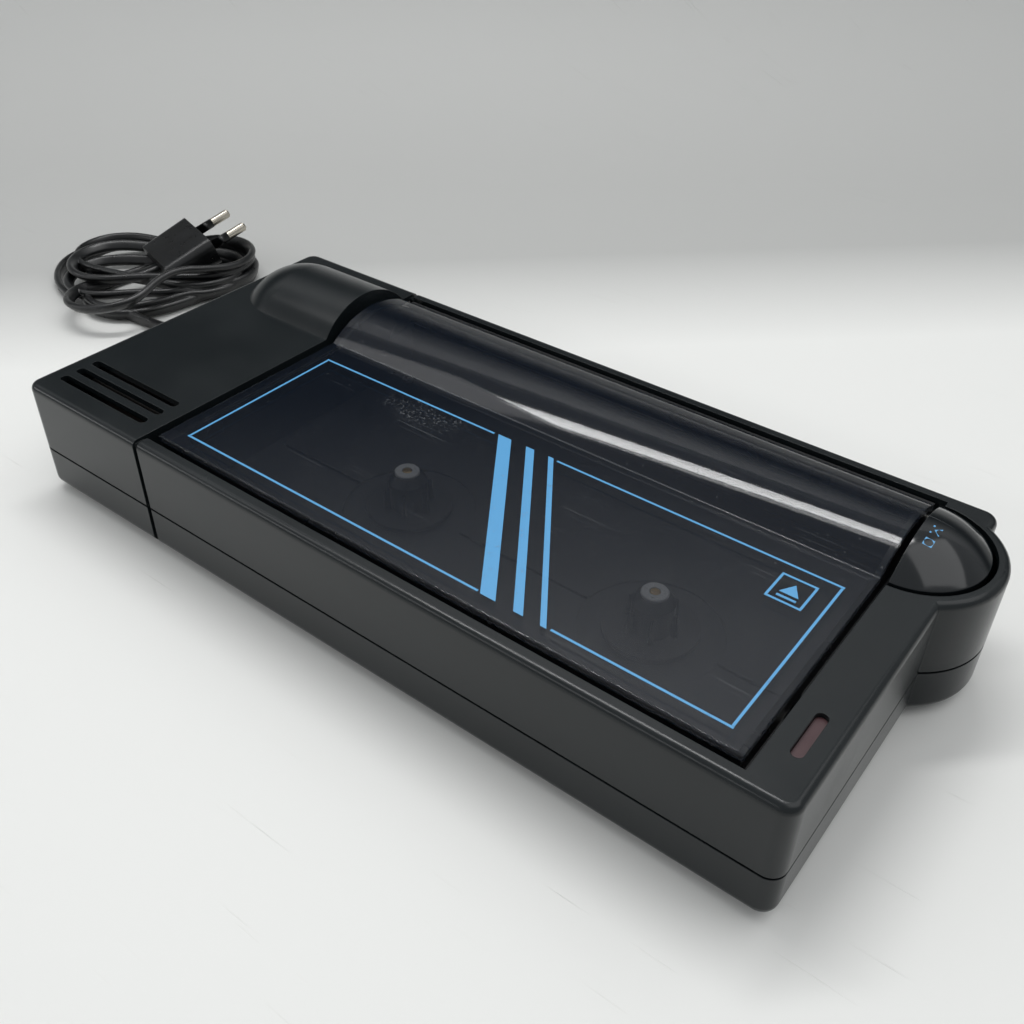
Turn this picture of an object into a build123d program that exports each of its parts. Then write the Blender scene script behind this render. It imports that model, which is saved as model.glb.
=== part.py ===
from build123d import *
import os
from math import acos, atan2, cos, degrees, hypot, pi, radians, sin, sqrt, tan

os.makedirs("parts", exist_ok=True)

# Video cassette rewinder, millimetres. X runs along the case, from the power block on the left
# to the stop button on the right, Y from the front edge to the hinge, Z up from the table.

# ---- Case shells
foot_height = 2.5
lower_height = 15.3  # underside to the parting line
wall = 2.2
corner_radius = 4.5
top_edge_radius = 2.2
bottom_edge_radius = 3.0
shadow_height = 0.8  # the dark line between the two shells
shadow_depth = 0.7
bulge_rim = 3.5  # rim of the round corner, about the button's gap
bulge_from_bay = 0.3  # round corner's centre to the bay's right edge

# ---- Cassette bay, cut through the top
bay_length = 206.9
bay_depth = 121.8
right_rim = 14.3
front_rim = 4.5
back_rim = 4.2
bay_wall = 1.7
skirt_depth = 13.0  # how far the bay's rim reaches down into the case
groove_width = 2.0  # groove between the power block and the bay's frame
groove_depth = 1.2

# ---- Crowned tops along the back: moulded hump, lid and button
crown_half_width = 20.0
crown_to_back = 8.0  # crown's edge to the back of the case
moulded_rise = 10.0
moulded_to_left = 4.4  # round end of the moulded hump to the left end of the case
lid_rise = 6.8
button_rise = 7.6

# ---- Lid
lid_gap_left = 3.6
lid_gap_right = 2.2
lid_gap_front = 3.0
lid_gap_back = 2.3
lid_thickness = 2.0
lid_edge_radius = 0.6
window_cut = 1.25  # crown's back edge to the window's cut edge
frame_inset = 0.6
frame_wall = 1.6
frame_depth = 7.0  # how far the frame reaches down below the window
frame_edge_radius = 0.8
seat_gap = 0.2
hinge_inset = 1.05  # crown's back edge to the hinge axis
hinge_drop = 4.4  # top face to the hinge axis
hinge_barrel_radius = 2.6
hinge_pin_radius = 1.0
hinge_lug = 1.8
hinge_pin_grip = 8.0  # depth of the pin in the lid's barrel
lid_spring_radius = 2.2
lid_spring_turns = 3
lid_spring_wire = 0.7
lid_spring_pitch = 0.8
lid_spring_fixed_leg = 4.2
lid_spring_free_leg = 8.0
catch_lift = 1.0  # deck to the underside of the lid's catch
catch_reach = 2.0
catch_thickness = 2.2
running_clearance = 0.05

# ---- Cassette deck
deck_height = 8.8  # case floor to the face that the cassette rests on
deck_thickness = 2.0
reel_spacing = 92.0
reels_off_middle = 4.65  # middle of the two spindles to the right of the bay's middle
spindle_from_front = 55.25
well_radius = 21.5  # shallow round well about each spindle
well_depth = 0.6
locating_rib_width = 1.2
locating_rib_height = 1.0
locating_rib_inset = 4.0
tray_screw_left = 8.0  # bay's edges to the axes of the tray's screws
tray_screw_ends = 12.0
tray_screw_right = 4.3
tray_screw_front = 2.6
tray_screw_back = 9.0

# ---- Spindles and drive
axle_radius = 1.5
axle_boss_radius = 4.5
axle_seat = 1.2  # how far the axles are let into the floor
barrel_radius = 5.0
barrel_play = 1.5
turntable_radius = 14.0
turntable_thickness = 1.4
turntable_gap = 0.7  # deck to the underside of the turntable
hub_radius = 6.3
hub_height = 11.9  # turntable to the top of the hub
hub_nose = 2.6
hub_nose_radius = 4.2
fin_count = 6
fin_width = 1.5
fin_reach = 8.4
fin_height = 7.5
fin_root = 1.0  # how far a fin starts inside the hub
fin_taper = 4.0
cap_radius = 4.0
cap_thickness = 0.9
cap_play = 0.15
cap_chamfer = 0.3
axle_tip = 0.1  # axle's end above the cap
axle_chamfer = 0.3
axle_end_gap = 0.2  # idler's axle to the underside of the deck
bore_clearance = 0.05  # between a turning bore and its axle, on the radius
felt_radius = 11.0
gear_module = 0.8
gear_teeth = 48
pinion_teeth = 16
pressure_angle = 20.0
gear_width = 2.6
gear_backlash = 0.12  # taken off the thickness of each tooth
drive_gap = 0.3  # between turning faces that lie one over the other
pulley_from_floor = 0.4
pulley_flange = 0.5
belt_width = 1.5
belt_play = 0.3
idler_belt_radius = 19.6  # to the middle of the belt
motor_belt_radius = 4.9
pulley_lip = 0.7  # how far a pulley's flanges stand above the belt's middle
idler_axle_radius = 1.25
idler_angle = 153.0  # direction of the idler as seen from the supply spindle

# ---- Motor
motor_from_left = 26.0
motor_radius = 16.5
motor_headroom = 2.1  # motor's can to the hollow of the moulded hump
motor_shaft_radius = 1.0
motor_shaft_grip = 6.0  # how far the shaft reaches into the motor
motor_boss_radius = 3.0
motor_boss_height = 1.0
motor_edge = 1.0  # chamfer of the motor's can
mount_plate = 1.5
mount_height = 6.4  # case floor to the underside of the motor's plate
mount_left = 17.0  # motor's axis to the posts of its plate
mount_right = 16.0
mount_spread = 13.0
mount_ear = 1.0  # plate's edge beyond a post
mount_play = 0.2

# ---- Stop button and latch
button_gap = 1.5
button_edge_radius = 0.8
button_face_inset = 0.4  # round corner's centre to the button's flat face
button_wall = 1.8
button_travel = 3.0
button_skirt = 8.8  # how far the button's skirt reaches below the top face
button_stem_radius = 3.0
stem_from_axis = 8.0  # stem's centre to the right of the round corner's centre
stem_play = 0.3
stem_height = 9.3  # case floor to the end of the stem
stem_collar_radius = 5.4
stem_collar_thickness = 1.2
stem_collar_height = 29.3  # case floor to the collar that the spring pushes on
tower_radius = 5.4
tower_height = 19.3  # case floor to the top of the stem's guide tower
spring_radius = 4.2
spring_wire = 0.7
spring_turns = 6
cam_peg_radius = 1.2
cam_play = 0.1
cam_height = 21.8  # case floor to the peg
cam_from_crown = 11.65  # crown's centre line to the peg
cam_wall = 1.5  # slider's end to the slanted slot
cam_head = 2.8  # peg's axis to the top of the slider's plate
slider_width = 4.0
slider_thickness = 3.0
slider_from_bay = 3.2  # bay's right edge to the slider
nose_length = 4.0
nose_gap = 0.7  # between the nose and the side of the lid's frame
slider_tail = 1.0  # slider's front end ahead of its nose
slider_slot_play = 0.5
catch_from_front = 37.0  # front edge of the case to the catch's foot
catch_length = 4.1
latch_gap = 0.3
post_half_length = 3.0
post_wall = 1.2
post_from_catch = 18.0  # catch's front edge to the first post of the slider
post_from_cam = 13.85  # second post to the peg
switch_from_catch = 0.7  # catch's front edge to the switch
switch_length = 12.8
switch_width = 5.8
switch_height = 6.6
plunger_radius = 1.1
leg_thickness = 1.1
leg_half_width = 2.2

# ---- Power block
vent_count = 3
vent_margin = 6.2  # ends of the power block to the ends of the slots
vent_width = 3.2
vent_pitch = 6.1
vent_from_front = 16.1  # middle slot
core_width = 38.0
core_height = 30.0
core_stack = 16.0
core_from_front = 25.25
winding_overhang = 5.5
winding_corner = 2.5
strap_thickness = 0.8
strap_width = 13.0
strap_foot = 6.2
strap_gap = 0.25  # between the strap's feet and the walls of the power block
core_pad = 2.2  # height of the pad under the transformer
core_headroom = 2.1  # its strap to the ceiling
board_length = 40.0
board_depth = 24.0
board_thickness = 1.6
board_height = 9.3  # case floor to the underside of the circuit board
board_gap = 5.5  # between the winding and the circuit board
board_post_radius = 2.4
board_post_inset = 3.5
capacitor_radius = 6.5
capacitor_length = 25.0
capacitor_back = 5.0  # board's middle to the capacitor's axis
capacitor_edge = 0.8
lead_radius = 0.35
lead_reach = 2.0
lead_spacing = 5.0
diode_radius = 1.35
diode_length = 5.2
diode_spacing = 13.0
diode_pitch = 3.0
diode_front = 2.7  # board's middle to the middle of the four diodes
diode_leg = 0.45  # half width of a bent leg
fuse_radius = 2.5
fuse_glass_radius = 2.2
fuse_length = 20.0
fuse_cap = 5.0
fuse_front = 8.8  # board's middle to the fuse's axis
clip_width = 3.0
clip_inset = 1.0  # fuse's end to its clip
clip_wall = 0.6
clip_lip = 0.5  # how far a clip's jaws close over the fuse

# ---- Indicator
slot_length = 15.6
slot_width = 3.3
slot_from_front = 22.1
slot_from_bay = 6.6  # bay's right edge to the middle of the slot
lens_recess = 1.3
lens_play = 0.2
lens_flange = 1.0  # width and thickness of the lens's flange
lamp_board_drop = 8.0  # ceiling to the underside of the lamp's board
lamp_post_spacing = 21.8
lamp_post_radius = 1.9
lamp_board_width = 8.0
led_radius = 1.5
led_dome = 1.3
led_rim = 0.3
led_rim_height = 0.8

# ---- Fasteners and feet
screw_radius = 1.25
screw_head_radius = 2.6
screw_head_height = 1.6
screw_play = 0.1
head_play = 0.3
hole_end = 1.0  # how far a screw's hole is deeper than the screw
cross_reach = 0.8  # arms of the cross recess, as a share of the head's radius
cross_half_width = 0.4
screw_grip = 10.0  # how far a case screw reaches above the parting line
small_screw_radius = 1.0
small_head_radius = 2.0
small_head_height = 1.2
small_screw_grip = 4.6
counterbore = 5.0
boss_radius = 3.2
boss_inset = 3.8
corner_boss_side = 1.8  # right and back walls to the screw beside the round corner
corner_boss_back = 3.5
foot_radius = 7.0
foot_recess = 0.6
foot_play = 0.1
foot_chamfer = 0.8
foot_inset = 15.0

# ---- Mains lead and its plug
cord_diameter = 5.2
grommet_from_back = 35.0
grommet_height = 5.3  # case floor to the middle of the lead
grommet_length = 22.0  # tapered boot outside the case
grommet_hole = 4.2
grommet_lip = 1.5  # thickness of the grommet's inner collar
grommet_step = 0.7  # how far its collars stand over the hole
boot_collar = 2.0
boot_wall = 0.6  # at the thin end
hank_height = 20.0
hank_edge = 4.0
lay_gap = 0.1  # under a lead that lies on the table
run_share = 0.45  # of a straight run that the arc at each of its ends takes up
plug_height = 16.5  # middle of the plug's front face
pin_spacing = 18.6
pin_length = 19.0
pin_radius = 2.0
pin_chamfer = 0.8
plug_length = 24.0
plug_width = 35.0
plug_thickness = 13.7
plug_corner = 4.5
plug_taper = 3.0

# ---- Levels and places worked out from the sizes above
cut = 1.0  # how far a cut, or a solid joined to another, reaches past the face
inner_height = core_pad + core_height + strap_thickness + core_headroom
upper_height = inner_height + 2 * wall - lower_height  # parting line to the top face
left_block = wall + core_width + 2 * (strap_thickness + strap_foot + strap_gap) + bay_wall
body_length = left_block + bay_length + right_rim
depth = front_rim + bay_depth + back_rim
bulge_radius = crown_half_width + button_gap + bulge_rim
overall_length = left_block + bay_length - bulge_from_bay + bulge_radius
left_x = -overall_length / 2
right_x = left_x + body_length
body_mid_x = (left_x + right_x) / 2
front_y = -depth / 2
back_y = depth / 2
bottom_z = foot_height
floor_z = bottom_z + wall
parting_z = bottom_z + lower_height
top_z = parting_z + upper_height
ceiling_z = top_z - wall
skirt_z = top_z - skirt_depth
bay_x0 = left_x + left_block
bay_x1 = bay_x0 + bay_length
bay_y0 = front_y + front_rim
bay_y1 = bay_y0 + bay_depth
tray_x0 = bay_x0 - bay_wall
tray_x1 = bay_x1 + bay_wall
button_x = bay_x1 - bulge_from_bay
crown_y = back_y - crown_to_back - crown_half_width
hump_end_x = left_x + moulded_to_left + crown_half_width
lid_x0 = bay_x0 + lid_gap_left
lid_x1 = bay_x1 - lid_gap_right
lid_y0 = bay_y0 + lid_gap_front
window_y1 = crown_y + crown_half_width - window_cut
window_z = top_z - lid_thickness
lug_x0 = lid_x1 + seat_gap
frame_x0 = lid_x0 + frame_inset
frame_x1 = lid_x1 - frame_inset
frame_y0 = lid_y0 + frame_inset
frame_y1 = bay_y1 - lid_gap_back
frame_z = window_z - frame_depth
hinge_y = crown_y + crown_half_width - hinge_inset
hinge_z = top_z - hinge_drop
deck_z = floor_z + deck_height
deck_under_z = deck_z - deck_thickness
supply_x = (bay_x0 + bay_x1 - reel_spacing) / 2 + reels_off_middle
takeup_x = supply_x + reel_spacing
spindle_y = front_y + spindle_from_front
spindle_spots = [(supply_x, spindle_y), (takeup_x, spindle_y)]
turntable_z = deck_z + turntable_gap
hub_z = turntable_z + turntable_thickness
hub_top_z = hub_z + hub_height
gear_top_z = deck_under_z - 2 * drive_gap
gear_z = gear_top_z - gear_width
pulley_top_z = gear_z - drive_gap
pulley_z = floor_z + pulley_from_floor
belt_z = (pulley_z + pulley_top_z - belt_width) / 2
gear_pitch_radius = gear_module * gear_teeth / 2
pinion_pitch_radius = gear_module * pinion_teeth / 2
idler_x = supply_x + (gear_pitch_radius + pinion_pitch_radius) * cos(radians(idler_angle))
idler_y = spindle_y + (gear_pitch_radius + pinion_pitch_radius) * sin(radians(idler_angle))
motor_x = left_x + motor_from_left
motor_y = crown_y
mount_z = floor_z + mount_height
motor_z = mount_z + mount_plate
button_face_x = button_x + button_face_inset
button_z = top_z - button_skirt
stem_x = button_x + stem_from_axis
stem_z = floor_z + stem_height
collar_z = floor_z + stem_collar_height
tower_z = floor_z + tower_height
slider_x = bay_x1 + slider_from_bay
catch_y = front_y + catch_from_front
catch_z = deck_z + catch_lift
slider_z = catch_z + catch_thickness + latch_gap
nose_y = catch_y + catch_length + latch_gap
cam_y = crown_y - cam_from_crown
cam_z = floor_z + cam_height
switch_y = catch_y - switch_from_catch
switch_z = slider_z + (slider_thickness - switch_height) / 2
block_mid_x = (left_x + wall + tray_x0) / 2
board_x = block_mid_x
board_z = floor_z + board_height
core_y = front_y + core_from_front
board_y = core_y + core_stack / 2 + winding_overhang + board_gap + board_depth / 2
core_z = floor_z + core_pad
slot_x = bay_x1 + slot_from_bay
slot_y = front_y + slot_from_front
lens_top_z = top_z - lens_recess
lens_flange_z = ceiling_z - lens_flange
lamp_board_z = ceiling_z - lamp_board_drop
lamp_board_top_z = lamp_board_z + board_thickness
cord_y = back_y - grommet_from_back
cord_z = floor_z + grommet_height
cord_radius = cord_diameter / 2

boss_x = (left_x + wall + boss_inset, tray_x0 - boss_inset, right_x - wall - boss_inset)
boss_y = -front_y - wall - boss_inset
case_screw_spots = [(boss_x[0], -boss_y), (boss_x[0], boss_y), (boss_x[1], -boss_y), (boss_x[1], boss_y),
                    (boss_x[2], -boss_y), (right_x - wall - corner_boss_side, back_y - wall - corner_boss_back)]
tray_screw_spots = [(bay_x0 + tray_screw_left, bay_y0 + tray_screw_ends),
                    (bay_x0 + tray_screw_left, bay_y1 - tray_screw_ends),
                    (bay_x1 - tray_screw_right, bay_y0 + tray_screw_front),
                    (bay_x1 - tray_screw_right, bay_y1 - tray_screw_back)]
foot_spots = [(left_x + foot_inset, front_y + foot_inset), (left_x + foot_inset, back_y - foot_inset),
              (right_x - foot_inset, front_y + foot_inset), (right_x - foot_inset, back_y - foot_inset)]
mount_post_spots = [(motor_x - mount_left, motor_y - mount_spread),
                    (motor_x - mount_left, motor_y + mount_spread),
                    (motor_x + mount_right, motor_y + mount_spread)]
board_post_x = board_length / 2 - board_post_inset
board_post_y = board_depth / 2 - board_post_inset
board_post_spots = [(board_x + sx * board_post_x, board_y + sy * board_post_y)
                    for sx in (-1, 1) for sy in (-1, 1)]
ear_spots = [(block_mid_x + side * (core_width / 2 + strap_thickness + strap_foot / 2), core_y)
             for side in (-1, 1)]
lamp_post_spots = [(slot_x, slot_y + side * lamp_post_spacing / 2) for side in (-1, 1)]


def keep(part, name):
    """Label a finished piece and write it to its own file."""
    part.label = name
    export_step(part, f"parts/{name}.step")


def footprint(level, inset=0.0):
    """The case's outline in plan: a rounded oblong with the round corner."""
    with BuildSketch(Plane.XY.offset(level)) as outline:
        with Locations((body_mid_x, 0)):
            RectangleRounded(body_length - 2 * inset, depth - 2 * inset, corner_radius - inset)
        with Locations((button_x, crown_y)):
            Circle(bulge_radius - inset)
    return outline.sketch


def discs(level, spots, radius):
    """Round outlines of one radius at several spots."""
    with BuildSketch(Plane.XY.offset(level)) as outline:
        with Locations(*spots):
            Circle(radius)
    return outline.sketch


def oblong(level, x0, x1, y0, y1):
    """A rectangle in plan between two X and two Y limits."""
    with BuildSketch(Plane.XY.offset(level)) as outline:
        with Locations(((x0 + x1) / 2, (y0 + y1) / 2)):
            Rectangle(x1 - x0, y1 - y0)
    return outline.sketch


def stadium(level, grow):
    """The indicator slot's outline, made larger all round by grow."""
    with BuildSketch(Plane.XY.offset(level)) as outline:
        with Locations((slot_x, slot_y)):
            SlotOverall(slot_length + 2 * grow, slot_width + 2 * grow, rotation=90)
    return outline.sketch


def across(x, points):
    """An outline of (y, z) points, upright and square to the X axis."""
    with BuildSketch(Plane.YZ.offset(x)) as outline:
        with BuildLine():
            Polyline(*points, close=True)
        make_face()
    return outline.sketch


def ring_across(x, y, z, radius):
    """A round outline square to the X axis."""
    with BuildSketch(Plane.YZ.offset(x)) as outline:
        with Locations((y, z)):
            Circle(radius)
    return outline.sketch


def upright(x, y):
    """The vertical axis through a spot in plan."""
    return Axis((x, y, 0), (0, 0, 1))


def turned(x, y, points):
    """Half section, as (radius, z) points, of a round piece about the vertical axis at a spot."""
    with BuildSketch(Plane(origin=(x, y, 0), x_dir=(1, 0, 0), z_dir=(0, -1, 0))) as section:
        with BuildLine():
            Polyline(*points, close=True)
        make_face()
    return section.sketch


def crown_radius(rise):
    """Radius of a crowned top from its rise over the crown's width."""
    return (crown_half_width**2 + rise**2) / (2 * rise)


def crown_section(x, rise, base_z, inset=0.0, side=0, half_width=crown_half_width):
    """Cross-section of a crowned top, down to base_z, whole or one half of it."""
    span = half_width if side else 2 * half_width
    with BuildSketch(Plane.YZ.offset(x)) as section:
        with Locations((crown_y, top_z + rise - crown_radius(rise))):
            Circle(crown_radius(rise) - inset)
        with Locations((crown_y + side * half_width / 2, base_z)):
            Rectangle(span, 2 * crown_half_width, align=(Align.CENTER, Align.MIN), mode=Mode.INTERSECT)
    return section.sketch


def gear_outline(level, x, y, teeth, facing):
    """A spur gear's outline with one tooth pointing along the direction facing, in degrees."""
    pitch = gear_module * teeth / 2
    base = pitch * cos(radians(pressure_angle))
    root, tip = pitch - 1.25 * gear_module, pitch + gear_module
    at_pitch = pi / (2 * teeth) - gear_backlash / (2 * pitch)
    radii = [max(root, base), (max(root, base) + pitch) / 2, (pitch + tip) / 2, tip]
    angles = [acos(min(1.0, base / r)) for r in radii]
    rolled = tan(radians(pressure_angle)) - radians(pressure_angle)
    halves = [at_pitch + rolled - (tan(a) - a) for a in angles]
    flank = [(root, halves[0])] + list(zip(radii, halves))
    if root >= base:
        flank = flank[1:]
    points = []
    for tooth in range(teeth):
        middle = radians(facing) + 2 * pi * tooth / teeth
        for r, half in [(r, -h) for r, h in flank] + [(r, h) for r, h in reversed(flank)]:
            points.append((x + r * cos(middle + half), y + r * sin(middle + half)))
    with BuildSketch(Plane.XY.offset(level)) as outline:
        with BuildLine():
            Polyline(*points, close=True)
        make_face()
    return outline.sketch


def belt_outline(level, grow):
    """Outline round both pulleys, outside the middle of the belt by grow."""
    run = hypot(motor_x - idler_x, motor_y - idler_y)
    heading = atan2(motor_y - idler_y, motor_x - idler_x)
    lean = acos((idler_belt_radius - motor_belt_radius) / run)
    large, small = idler_belt_radius + grow, motor_belt_radius + grow
    corners = [(idler_x + large * cos(heading - lean), idler_y + large * sin(heading - lean)),
               (motor_x + small * cos(heading - lean), motor_y + small * sin(heading - lean)),
               (motor_x + small * cos(heading + lean), motor_y + small * sin(heading + lean)),
               (idler_x + large * cos(heading + lean), idler_y + large * sin(heading + lean))]
    with BuildSketch(Plane.XY.offset(level)) as outline:
        with BuildLine():
            Polyline(*corners, close=True)
        make_face()
        with Locations((idler_x, idler_y)):
            Circle(large)
        with Locations((motor_x, motor_y)):
            Circle(small)
    return outline.sketch


def screws(spots, seat_z, grip, shank, head, head_height, upward=False):
    """Pan-head screws with their heads seated at one level, driven down or up."""
    turn = -1 if upward else 1
    with BuildPart() as batch:
        extrude(discs(seat_z, spots, head), amount=turn * head_height)
        extrude(discs(seat_z, spots, shank), amount=-turn * grip)
        for x, y in spots:
            arm = cross_reach * head
            for reach_x, reach_y in ((arm, cross_half_width), (cross_half_width, arm)):
                extrude(oblong(seat_z + turn * head_height, x - reach_x, x + reach_x, y - reach_y, y + reach_y),
                        amount=-turn * head_height / 2, mode=Mode.SUBTRACT)
    return batch.part


# ======== Shells ========

# Top shell: rim of the bay, moulded hump, round corner, vents and the lamp's slot.
with BuildPart() as upper_case:
    extrude(footprint(parting_z), amount=upper_height)
    fillet(upper_case.faces().sort_by(Axis.Z)[-1].edges(), top_edge_radius)
    extrude(crown_section(bay_x0, moulded_rise, ceiling_z), amount=hump_end_x - bay_x0)
    revolve(crown_section(hump_end_x, moulded_rise, ceiling_z, side=1), upright(hump_end_x, crown_y), 180)
    extrude(footprint(parting_z, wall), amount=upper_height - wall, mode=Mode.SUBTRACT)
    extrude(crown_section(bay_x0 - wall, moulded_rise, ceiling_z - cut, wall, half_width=crown_half_width - wall),
            amount=hump_end_x - bay_x0 + wall, mode=Mode.SUBTRACT)
    revolve(crown_section(hump_end_x, moulded_rise, ceiling_z - cut, wall, 1, crown_half_width - wall),
            upright(hump_end_x, crown_y), 180, mode=Mode.SUBTRACT)
    extrude(oblong(skirt_z, tray_x0, tray_x1, front_y + wall / 2, back_y - wall / 2),
            amount=skirt_depth - wall / 2)
    extrude(oblong(skirt_z, bay_x0, bay_x1, bay_y0, bay_y1), amount=skirt_depth, mode=Mode.SUBTRACT)
    extrude(discs(skirt_z, [(button_x, crown_y)], crown_half_width + button_gap),
            amount=skirt_depth, mode=Mode.SUBTRACT)
    # Ventilation slots over the transformer
    with BuildSketch(Plane.XY.offset(ceiling_z)):
        with Locations((block_mid_x, front_y + vent_from_front)):
            with GridLocations(1, vent_pitch, 1, vent_count):
                SlotOverall(left_block - 2 * vent_margin, vent_width)
    extrude(amount=wall, mode=Mode.SUBTRACT)
    extrude(stadium(ceiling_z, 0), amount=wall, mode=Mode.SUBTRACT)
    # Bosses for the screws that come up from below, and for the lamp's board
    extrude(discs(parting_z, case_screw_spots, boss_radius), amount=ceiling_z - parting_z)
    extrude(discs(lamp_board_top_z, lamp_post_spots, lamp_post_radius), amount=ceiling_z - lamp_board_top_z)
    extrude(discs(parting_z, case_screw_spots, screw_radius + screw_play), amount=screw_grip + hole_end,
            mode=Mode.SUBTRACT)
    extrude(discs(lamp_board_top_z, lamp_post_spots, small_screw_radius + screw_play),
            amount=small_screw_grip, mode=Mode.SUBTRACT)
    # Groove between the power block and the bay's frame
    for y0, y1 in ((front_y, front_y + groove_depth), (back_y - groove_depth, back_y)):
        extrude(oblong(parting_z, bay_x0, bay_x0 + groove_width, y0, y1), amount=upper_height,
                mode=Mode.SUBTRACT)
    extrude(oblong(top_z - groove_depth, bay_x0, bay_x0 + groove_width, front_y, back_y),
            amount=groove_depth, mode=Mode.SUBTRACT)
    # Lug that carries the right hinge pin, between the lid and the button
    lug_y = hinge_y - hinge_barrel_radius
    extrude(across(lug_x0, [(lug_y, hinge_z - hinge_barrel_radius - cut), (bay_y1, skirt_z), (bay_y1, window_z),
                            (lug_y, window_z)]), amount=hinge_lug)
    # Seats of the two hinge pins
    extrude(ring_across(tray_x0, hinge_y, hinge_z, hinge_pin_radius), amount=lug_x0 + hinge_lug - tray_x0,
            mode=Mode.SUBTRACT)
keep(upper_case.part, "upper_case")

# Bottom shell: floor, screw bosses and the posts that carry the works.
with BuildPart() as lower_case:
    extrude(footprint(bottom_z), amount=lower_height)
    fillet(lower_case.faces().sort_by(Axis.Z)[0].edges(), bottom_edge_radius)
    extrude(footprint(floor_z, wall), amount=lower_height, mode=Mode.SUBTRACT)
    with BuildSketch(Plane.XY.offset(parting_z - shadow_height)):
        add(footprint(0))
        add(footprint(0, shadow_depth), mode=Mode.SUBTRACT)
    extrude(amount=shadow_height, mode=Mode.SUBTRACT)
    extrude(discs(floor_z, case_screw_spots, boss_radius), amount=parting_z - floor_z)
    extrude(discs(floor_z, tray_screw_spots, boss_radius), amount=deck_under_z - floor_z)
    extrude(discs(floor_z, mount_post_spots, boss_radius), amount=mount_height)
    extrude(discs(floor_z, board_post_spots, board_post_radius), amount=board_height)
    pad_x = core_width / 2 + strap_thickness + strap_foot
    extrude(oblong(floor_z, block_mid_x - pad_x, block_mid_x + pad_x,
                   core_y - strap_width / 2, core_y + strap_width / 2), amount=core_pad)
    extrude(discs(floor_z, spindle_spots[:1], axle_boss_radius), amount=pulley_top_z - floor_z)
    extrude(discs(floor_z, spindle_spots[1:], axle_boss_radius), amount=deck_under_z - drive_gap - floor_z)
    # Guide tower of the button's stem
    extrude(discs(floor_z, [(stem_x, crown_y)], tower_radius), amount=tower_height)
    extrude(discs(floor_z, [(stem_x, crown_y)], button_stem_radius + stem_play), amount=tower_height,
            mode=Mode.SUBTRACT)
    # Two forked posts in which the latch slider runs
    for post_y in (catch_y + post_from_catch, cam_y - post_from_cam):
        post_y0, post_y1 = post_y - post_half_length, post_y + post_half_length
        extrude(oblong(floor_z, slider_x - post_wall - cam_play, slider_x + slider_width + cam_play + post_wall,
                       post_y0, post_y1), amount=slider_z + slider_thickness - floor_z)
        extrude(oblong(slider_z - cam_play, slider_x - cam_play, slider_x + slider_width + cam_play,
                       post_y0, post_y1), amount=slider_thickness + cut, mode=Mode.SUBTRACT)
    # Pedestal of the start switch
    extrude(oblong(floor_z, slider_x, slider_x + switch_width, switch_y - switch_length, switch_y),
            amount=switch_z - floor_z)
    # Screw holes: from below through the case bosses, from above into the posts
    extrude(discs(bottom_z, case_screw_spots, screw_radius + 2 * screw_play), amount=lower_height,
            mode=Mode.SUBTRACT)
    extrude(discs(bottom_z, case_screw_spots, screw_head_radius + head_play), amount=counterbore,
            mode=Mode.SUBTRACT)
    for level, spots in ((deck_under_z, tray_screw_spots), (mount_z, mount_post_spots),
                         (board_z, board_post_spots)):
        extrude(discs(level, spots, small_screw_radius + screw_play), amount=-small_screw_grip,
                mode=Mode.SUBTRACT)
    extrude(discs(core_z, ear_spots, small_screw_radius + screw_play), amount=-core_pad - wall / 2,
            mode=Mode.SUBTRACT)
    # Pressed seats of the axles
    extrude(discs(floor_z - axle_seat, spindle_spots, axle_radius), amount=deck_height, mode=Mode.SUBTRACT)
    extrude(discs(floor_z - axle_seat, [(idler_x, idler_y)], idler_axle_radius), amount=2 * axle_seat,
            mode=Mode.SUBTRACT)
    # Recesses of the feet, the hole of the lead's grommet, and the groove below the frame's one
    extrude(discs(bottom_z, foot_spots, foot_radius + foot_play), amount=foot_recess, mode=Mode.SUBTRACT)
    extrude(ring_across(left_x, cord_y, cord_z, grommet_hole), amount=wall, mode=Mode.SUBTRACT)
    for y0, y1 in ((front_y, front_y + groove_depth), (back_y - groove_depth, back_y)):
        extrude(oblong(bottom_z, bay_x0, bay_x0 + groove_width, y0, y1), amount=lower_height,
                mode=Mode.SUBTRACT)
keep(lower_case.part, "lower_case")

with BuildPart() as rubber_feet:
    extrude(discs(0, foot_spots, foot_radius), amount=foot_height + foot_recess)
    chamfer(rubber_feet.edges().group_by(Axis.Z)[0], foot_chamfer)
keep(rubber_feet.part, "rubber_feet")

head_seat_z = bottom_z + counterbore
keep(screws(case_screw_spots, head_seat_z, parting_z + screw_grip - head_seat_z, screw_radius,
            screw_head_radius, screw_head_height, upward=True), "case_screws")

# ======== Cassette deck ========

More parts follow.
